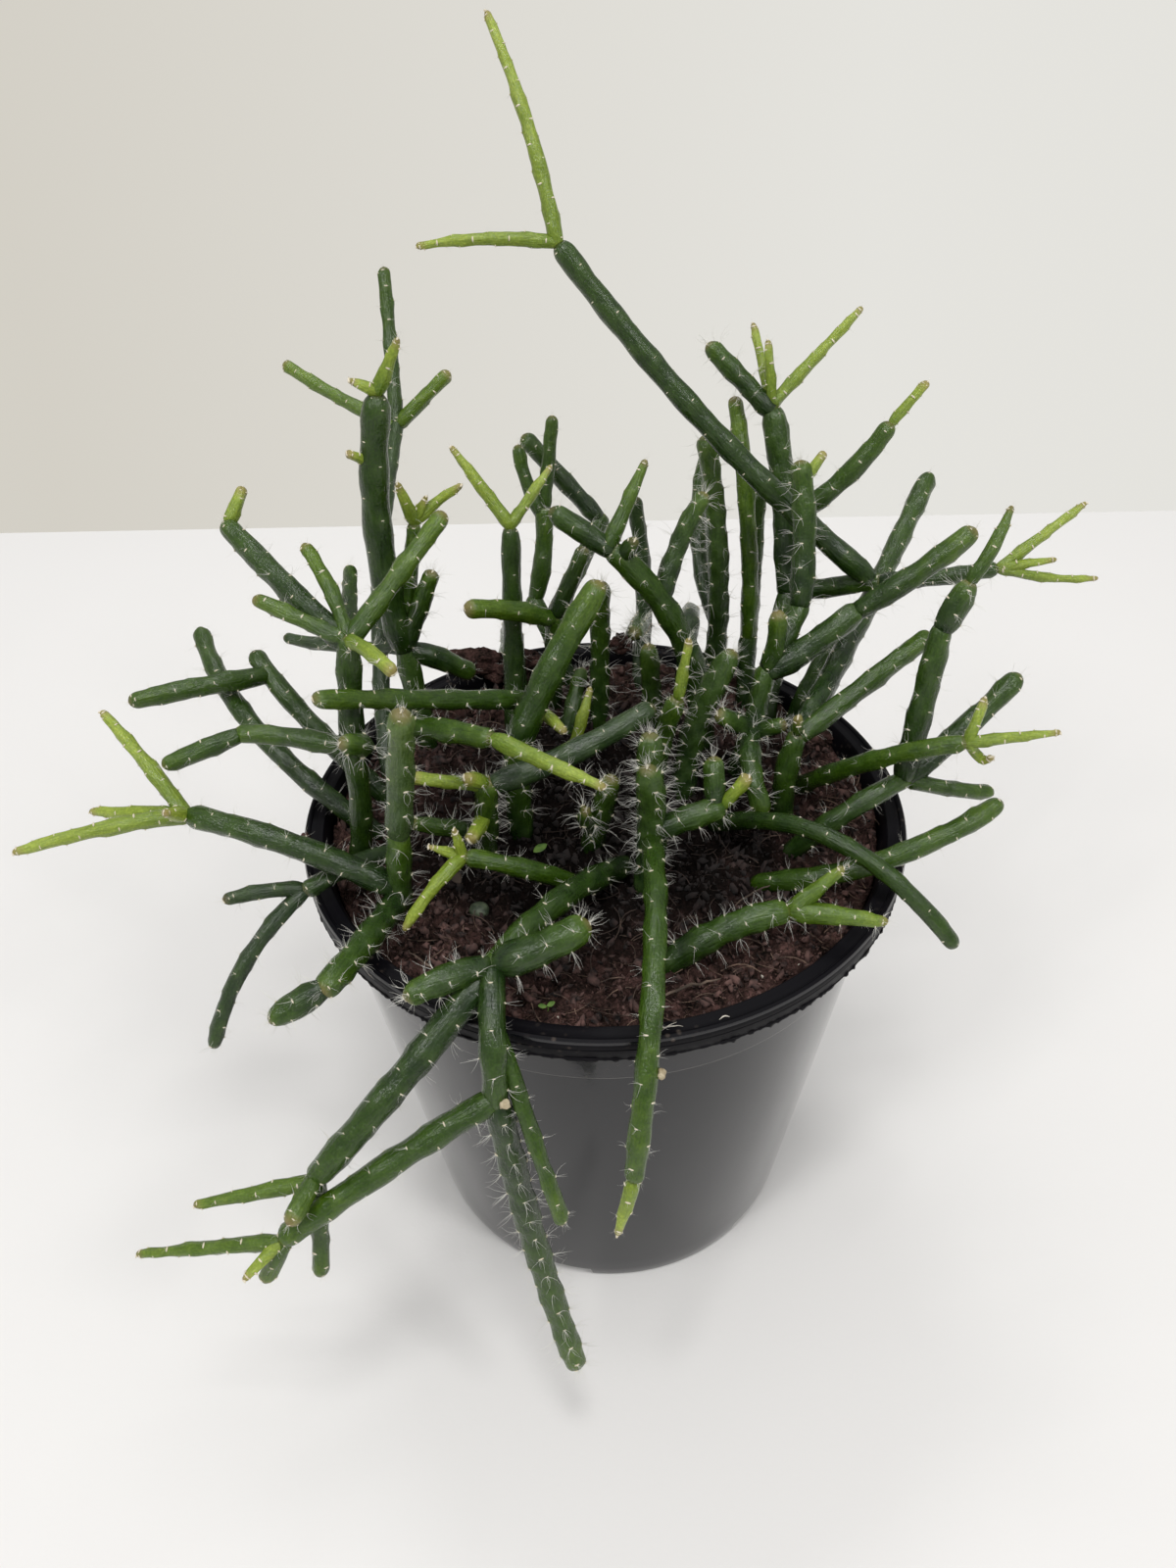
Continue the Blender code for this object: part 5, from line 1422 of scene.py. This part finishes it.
def buildTuftTree():
    # a felt cushion on every areole and a fan of curved bristles out of it
    tree, given, out = geometryTree("areoleTufts", [
        ("Cushion Length", "Float", 1.9),
        ("Cushion Width", "Float", 0.6),
        ("Cushion Height", "Float", 0.55),
        ("Bristle Thickness", "Float", 0.0115),
        ("Slight Bend", "Float", 0.2),
        ("Middle Bend", "Float", 0.48),
        ("Strong Bend", "Float", 0.78),
        ("Fan", "Float", 2.7),
        ("Least Lean", "Float", 0.25),
        ("Most Lean", "Float", 1.4),
        ("Seed", "Int", 3),
        ("Cushion Material", "Material", None),
        ("Bristle Material", "Material", None),
    ])

    def chance(low, high, salt):
        seed = plus(tree, given["Seed"], salt)
        return put(tree, "FunctionNodeRandomValue", {2: low, 3: high, "Seed": seed}).outputs[1]

    def turnedTo(primary, secondary, secondaryAxis):
        return put(tree, "FunctionNodeAxesToRotation",
                   {"Primary Axis": primary, "Secondary Axis": secondary},
                   primary_axis="Z", secondary_axis=secondaryAxis).outputs["Rotation"]

    def swung(first, second, angle):
        # the first direction turned towards the second
        return vectorCalc(tree, "ADD", scaled(tree, first, calc(tree, "COSINE", angle)),
                          scaled(tree, second, calc(tree, "SINE", angle)))

    points = put(tree, "GeometryNodeMeshToPoints", {"Mesh": given["Geometry"]}).outputs["Points"]
    outward = named(tree, "outward", "FLOAT_VECTOR")
    forward = named(tree, "forward", "FLOAT_VECTOR")

    ball = put(tree, "GeometryNodeMeshIcoSphere", {"Radius": 1.0, "Subdivisions": 1}).outputs["Mesh"]
    flat = combined(tree, given["Cushion Length"], given["Cushion Width"], given["Cushion Height"])
    cushion = put(tree, "GeometryNodeTransform", {"Geometry": ball, "Scale": flat}).outputs["Geometry"]
    padSize = times(tree, named(tree, "pad"), chance(0.7, 1.3, 1))
    cushions = put(tree, "GeometryNodeInstanceOnPoints",
                   {"Points": points, "Instance": cushion, "Scale": padSize,
                    "Rotation": turnedTo(outward, forward, "Y")}).outputs["Instances"]

    copies = put(tree, "GeometryNodeDuplicateElements",
                 {"Geometry": points, "Amount": named(tree, "hairs")}, domain="POINT").outputs["Geometry"]
    turn = chance(times(tree, given["Fan"], -1.0), given["Fan"], 2)
    lean = chance(given["Least Lean"], given["Most Lean"], 3)
    sideways = vectorCalc(tree, "CROSS_PRODUCT", outward, forward)
    aim = swung(outward, swung(forward, sideways, turn), lean)
    factor = put(tree, "GeometryNodeSplineParameter").outputs["Factor"]
    taper = times(tree, minus(tree, 1.0, times(tree, factor, 0.8)), given["Bristle Thickness"])
    shapes = put(tree, "GeometryNodeJoinGeometry")
    for bend, height in (("Slight Bend", 1.0), ("Middle Bend", 0.92), ("Strong Bend", 0.76)):
        end = combined(tree, x=given[bend], z=height)
        made = swept(tree, arc(tree, 3, (0.0, 0.0, 0.0), (0.0, 0.0, 0.55), end), 3, taper)
        single = put(tree, "GeometryNodeGeometryToInstance", {"Geometry": made}).outputs["Instances"]
        tree.links.new(single, shapes.inputs["Geometry"])
    length = times(tree, named(tree, "hair"), chance(0.45, 1.2, 4))
    pick = calc(tree, "FLOOR", chance(0.0, 2.99, 5))
    bristles = put(tree, "GeometryNodeInstanceOnPoints",
                   {"Points": copies, "Instance": shapes.outputs["Geometry"], "Pick Instance": True,
                    "Instance Index": pick, "Rotation": turnedTo(aim, outward, "X"),
                    "Scale": length}).outputs["Instances"]

    joined = put(tree, "GeometryNodeJoinGeometry")
    for made, material in ((bristles, "Bristle Material"), (cushions, "Cushion Material")):
        tree.links.new(painted(tree, made, given[material]), joined.inputs["Geometry"])
    tree.links.new(joined.outputs["Geometry"], out["Geometry"])
    return tree


skinValues = {
    # green from the oldest growth to the youngest
    "tones": ((0.0, (0.007, 0.022, 0.002)), (0.22, (0.028, 0.064, 0.003)), (0.45, (0.085, 0.148, 0.009)),
              (0.75, (0.225, 0.300, 0.030)), (1.0, (0.360, 0.440, 0.075))),
    # how strongly each of these shows, and its colour; grain and the painted shade in the creases multiply
    # the skin
    "bloom": (0.55, (0.060, 0.085, 0.050)),
    "grain": (0.42, (2.1, 1.9, 2.3)),
    "creaseShade": (0.45, (0.45, 0.5, 0.4)),
    "shoulder": (0.10, (0.20, 0.30, 0.10)),
    "brownTip": (0.85, (0.29, 0.18, 0.09)),
    "drift": 0.30,
    "roughness": (0.12, 0.20),
    "even": {"Specular IOR Level": 0.45, "Subsurface Weight": 0.10, "Subsurface Scale": 1.0,
             "Subsurface Radius": (0.6 * mm, 1.2 * mm, 0.3 * mm)},
    # white bristles and tan felt: dark, light and roughness
    "bristle": ((0.72, 0.70, 0.62), (0.90, 0.89, 0.84), 0.45),
    "felt": ((0.55, 0.46, 0.30), (0.84, 0.79, 0.66), 0.9),
}


def buildSkinMaterial():
    # green skin: dark, bluish or lime by its growth, speckled, with painted shade in the creases and a
    # brown end on young tips
    v = skinValues
    material, tree, shader, place = newMaterial("stemSkin", v["even"])
    spots = speckled(tree, place, 2100.0, 330.0)
    wrinkles = cloudy(tree, attribute(tree, "around", "Vector"), 4.5, 3.0)
    drift = times(tree, minus(tree, spots["Cloud"], 0.5), v["drift"])
    skin = ramp(tree, plus(tree, attribute(tree, "youth"), drift), v["tones"])
    tipFade = mapped(tree, attribute(tree, "tipShare"), 1.2, 0.1)
    layers = (
        ("bloom", attribute(tree, "blue"), "MIX"),
        ("grain", spots["Grain"], "MULTIPLY"),
        # painted shade: darker where the wrinkles sink, in step with their bump
        ("creaseShade", mapped(tree, wrinkles, 0.46, 0.34), "MULTIPLY"),
        ("shoulder", attribute(tree, "shoulder"), "MIX"),
        ("brownTip", times(tree, tipFade, attribute(tree, "tan")), "MIX"),
    )
    for name, mask, how in layers:
        strength, colour = v[name]
        skin = blendColour(tree, times(tree, mask, strength), skin, colour, how)
    base, more = v["roughness"]
    tree.links.new(plus(tree, base, times(tree, spots["Cloud"], more)), shader.inputs["Roughness"])
    fine = bump(tree, spots["Grain"], 0.8, 0.05 * mm)
    uneven = bump(tree, spots["Cloud"], 0.8, 0.12 * mm, fine)
    dress(tree, shader, skin, bump(tree, wrinkles, 0.8, 0.30 * mm, uneven))
    return material


def buildTuftMaterial(name, dark, light, roughness):
    material, tree, shader, place = newMaterial(name, {"Roughness": roughness})
    tone = cloudy(tree, place, 700.0, 2.0)
    tree.links.new(blendColour(tree, tone, dark, light), shader.inputs["Base Color"])
    return material


skinMaterial = buildSkinMaterial()
bristleMaterial = buildTuftMaterial("whiteBristle", *skinValues["bristle"])
cushionMaterial = buildTuftMaterial("areoleFelt", *skinValues["felt"])


def firmness(radii, diameter):
    # full on the body of a stem, less where it is thin
    return np.clip(radii / (shapeValues["firmShare"] * diameter / 2), 0, 1)


def areolesOf(line, distances, radii, diameter, kind, twist, rooted):
    # rows of areoles up the stem, by the same turn as the skin's shoulders
    v, t = shapeValues, tuftValues
    bare = v["rootDepth"] + t["rootBare"] if rooted else t["jointBare"] * diameter
    first = int(math.ceil(bare / kind["step"]))
    last = int((walked(line)[-1] - t["tipBare"]) / kind["step"])
    numbers = np.arange(first, last + 1)
    spots = numbers * kind["step"]
    radiiThere = np.interp(spots, distances, radii)
    tangents, across = crossFrames(line, spots)
    turns = (numbers * v["turn"] - twist)[:, None]
    outward = np.cos(turns) * across + np.sin(turns) * np.cross(tangents, across)
    lift = radiiThere + t["onKnob"] * kind["knob"] * firmness(radiiThere, diameter)
    return along(line, spots) + outward * lift[:, None], outward, tangents


def padOf(name, kind):
    pale, brown = tuftValues[name]
    return (pale + brown * kind["tan"]) * mm


def addCrown(group, line, distances, radii, kind, twist, tipAim, tipSide):
    # one tuft on the very tip and a ring of smaller ones around it
    t = tuftValues
    length = walked(line)[-1]
    group.add([along(line, [length])[0] - t["tipInset"] * tipAim], outward=[tipAim], forward=[tipSide],
              hairs=kind["crown"], hair=kind["hair"] * t["tipLength"] * mm, pad=padOf("tipPad", kind))
    leanOut, leanAhead = t["crownLean"]
    back = length - t["crownDrop"]
    tipRadius = float(np.interp(back, distances, radii))
    for number in range(t["crownTufts"]):
        turn = twist + number * fullTurn / t["crownTufts"]
        side = math.cos(turn) * tipSide + math.sin(turn) * np.cross(tipAim, tipSide)
        aim = leanOut * side + leanAhead * tipAim
        spot = along(line, [back])[0] + side * tipRadius * t["crownReach"]
        group.add([spot], outward=[aim / np.linalg.norm(aim)], forward=[tipAim],
                  hairs=max(1, kind["crown"] // 3), hair=kind["hair"] * t["crownLength"] * mm,
                  pad=padOf("crownPad", kind))


def tuftGroup(node, line):
    # bristles are gathered by age and by side, so that no piece grows too large
    splitX, splitY = tuftValues["split"]
    side = "Left" if line[0][0] < splitX else "Right"
    if node.startswith("shoot"):
        return "young", side
    return "old", ("Front" if line[0][1] < splitY else "Back") + side


def growStems():
    v = shapeValues
    chances = np.random.default_rng(v["seed"])
    wireNames = ("thick", "centre", "forward", "across", "along", "tipShare", "twist", "step",
                 "knob", "firm", "youth", "blue", "tan")
    wires, tufts = {}, {}
    for node, line, diameter, kindName, tip, rooted in planStems():
        kind = stemKinds[kindName]
        distances, radii, length = stemRings(line, diameter, tip, rooted)
        tangents, across = crossFrames(line, distances)
        centres = along(line, distances)
        twist = chances.uniform(0, fullTurn)
        footYouth, tipYouth = kind["youth"]
        wire = wires.setdefault(node, Gather(wireNames))
        start = wire.add(
            centres, thick=radii * mm, centre=centres * mm, forward=tangents, across=across,
            along=distances, tipShare=(length - distances) / kind["brown"], twist=twist,
            step=kind["step"], knob=kind["knob"] * mm, firm=firmness(radii, diameter) ** 2,
            youth=footYouth + (tipYouth - footYouth) * (distances / length) ** v["youthPower"],
            blue=kind["blue"], tan=kind["tan"])
        wire.edges += [(start + i, start + i + 1) for i in range(len(centres) - 1)]
        group = tufts.setdefault(tuftGroup(node, line),
                                 Gather(("outward", "forward", "hairs", "hair", "pad")))
        places, outward, forwards = areolesOf(line, distances, radii, diameter, kind, twist, rooted)
        extra = chances.integers(0, 3, len(places))
        lengths = kind["hair"] * chances.uniform(*tuftValues["lengths"], len(places))
        group.add(places, outward=outward, forward=forwards, hair=lengths * mm,
                  hairs=np.maximum(kind["hairs"] - 1 + extra, 1), pad=padOf("pad", kind))
        addCrown(group, line, distances, radii, kind, twist, tangents[-1], across[-1])
    skinTree, tuftTree = buildSkinTree(), buildTuftTree()
    keep = ("youth", "blue", "tan", "tipShare", "shoulder", "around")
    skins, bristled = {}, {}
    for node, wire in wires.items():
        sides = v["youngSides"] if node.startswith("shoot") else v["oldSides"]
        skins[node] = finishMesh(node + "_skin", wire.mesh(node), skinTree,
                                 {"Skin Material": skinMaterial, "Sides": sides}, keep)
    for (age, side), group in tufts.items():
        bristled[age, side] = finishMesh(
            age + "StemTufts" + side, group.mesh(age + side), tuftTree,
            {"Cushion Material": cushionMaterial, "Bristle Material": bristleMaterial})
    return skins, bristled


stemSkins, stemTufts = growStems()
print("stems grown:", sum(len(s.data.polygons) for s in stemSkins.values()), "skin faces,",
      [len(t.data.polygons) for t in stemTufts.values()], "tuft faces")


# What moves with what

bodyName = "root"


def handOver(piece, node=None):
    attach(piece, bodyName)
    if node:
        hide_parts(node)


handOver(pot, "pot")
handOver(flash)
handOver(soil, "soil")
handOver(litter)
for find in soilFinds:
    handOver(find)
handOver(driedBuds)
for node, skin in stemSkins.items():
    handOver(skin, node)
for (age, side), piece in stemTufts.items():
    handOver(piece)


# Table, light and camera

stageValues = {
    # ends of the table's back edge and its size, in mm
    "tableLeft": (-258.4, 336.1),
    "tableRight": (277.4, 306.4),
    "tableSize": 3000,
    "tableColour": (0.84, 0.825, 0.805),
    "tableShade": (0.74, 0.725, 0.71),
    "wallLeft": (0.655, 0.628, 0.565),
    "wallRight": (0.78, 0.77, 0.73),
    "room": (0.34, 0.34, 0.335),
    "ceilingFront": (0.88, 0.88, 0.88),
    "ceilingBack": (0.50, 0.50, 0.50),
    # where one tone of the room gives way to the next, along x, y or z of the direction
    "leftToRight": (-0.35, 0.25),
    "roomToWall": (0.0, 0.4),
    "wallToRoom": (-0.1, 0.05),
    "wallToCeiling": (0.15, 0.7),
    "frontToBack": (-0.5, 0.5),
    "skyStrength": 1.0,
    # ceiling panels: place, width and power, in metres and watts, all aimed at one point
    "lamps": (
        ((-0.70, -0.70, 1.2), 0.24, 3.9),
        ((0.70, -0.70, 1.2), 0.24, 3.9),
        ((0.0, -0.35, 1.4), 0.20, 3.9),
        ((-0.1, 0.60, 1.3), 0.24, 2.5),
    ),
    "lampAim": (0, 0, 0.12),
}


def buildTable():
    v = stageValues
    left, right = Vector(v["tableLeft"]), Vector(v["tableRight"])
    run = (right - left).normalized() * v["tableSize"]
    front = Vector((run.y, -run.x))
    corners = (left - run, right + run, right + run + front, left - run + front)
    points = [(*(corner * mm), 0.0) for corner in corners]
    material, tree, shader, place = newMaterial("paleTable", {"Roughness": 0.6, "Specular IOR Level": 0.2})
    spots = speckled(tree, place, 700.0, 6.0)
    tone = blendColour(tree, times(tree, spots["Cloud"], 0.5), v["tableColour"], v["tableShade"])
    dress(tree, shader, tone, bump(tree, spots["Grain"], 0.1, 0.1 * mm))
    meshObject("paleTable", points, [(3, 2, 1, 0)], material, False)


def buildRoom():
    v = stageValues
    world = bpy.data.worlds.new("softRoom")
    bpy.context.scene.world = world
    bpy.context.scene.view_settings.view_transform = "Standard"
    world.use_nodes = True
    tree = world.node_tree
    ray = put(tree, "ShaderNodeTexCoord").outputs["Generated"]
    parts = put(tree, "ShaderNodeSeparateXYZ", {"Vector": ray}).outputs

    def shift(axis, limits, first, second):
        return blendColour(tree, mapped(tree, parts[axis], *v[limits]), first, second)

    wall = shift("X", "leftToRight", v["wallLeft"], v["wallRight"])
    wall = shift("Y", "roomToWall", v["room"], wall)
    wall = shift("Z", "wallToRoom", wall, v["room"])
    ceiling = shift("Y", "frontToBack", v["ceilingFront"], v["ceilingBack"])
    background = tree.nodes["Background"]
    tree.links.new(shift("Z", "wallToCeiling", wall, ceiling), background.inputs["Color"])
    background.inputs["Strength"].default_value = v["skyStrength"]


def buildLamps():
    v = stageValues
    for number, (place, width, power) in enumerate(v["lamps"]):
        lamp = bpy.data.lights.new("softPanel" + str(number), "AREA")
        lamp.size = width
        lamp.energy = power
        panel = placed(lamp.name, lamp)
        panel.location = place
        aim = Vector(v["lampAim"]) - panel.location
        panel.rotation_euler = aim.to_track_quat("-Z", "Y").to_euler()


cameraValues = {
    # place in mm, angles in degrees, lens and sensor in mm
    "place": (-9.6, -189.2, 270.6),
    "down": 39.85,
    "roll": -1.67,
    "yaw": 1.98,
    "lens": 28.46,
    "sensor": 36.0,
    "nearest": 0.01,
}


def buildCamera():
    v = cameraValues
    down, roll, yaw = (math.radians(v[name]) for name in ("down", "roll", "yaw"))
    forward = Vector((math.sin(yaw) * math.cos(down), math.cos(yaw) * math.cos(down), -math.sin(down)))
    level = Vector((math.cos(yaw), -math.sin(yaw), 0))
    upright = level.cross(forward)
    right = level * math.cos(roll) + upright * math.sin(roll)
    up = upright * math.cos(roll) - level * math.sin(roll)
    lens = bpy.data.cameras.new("photoCamera")
    lens.lens = v["lens"]
    lens.sensor_width = v["sensor"]
    lens.clip_start = v["nearest"]
    camera = placed("photoCamera", lens)
    turn = Matrix((right, up, -forward)).transposed().to_4x4()
    camera.matrix_world = Matrix.Translation(Vector(v["place"]) * mm) @ turn
    bpy.context.scene.camera = camera


buildTable()
buildRoom()
buildLamps()
buildCamera()
print("stage set")
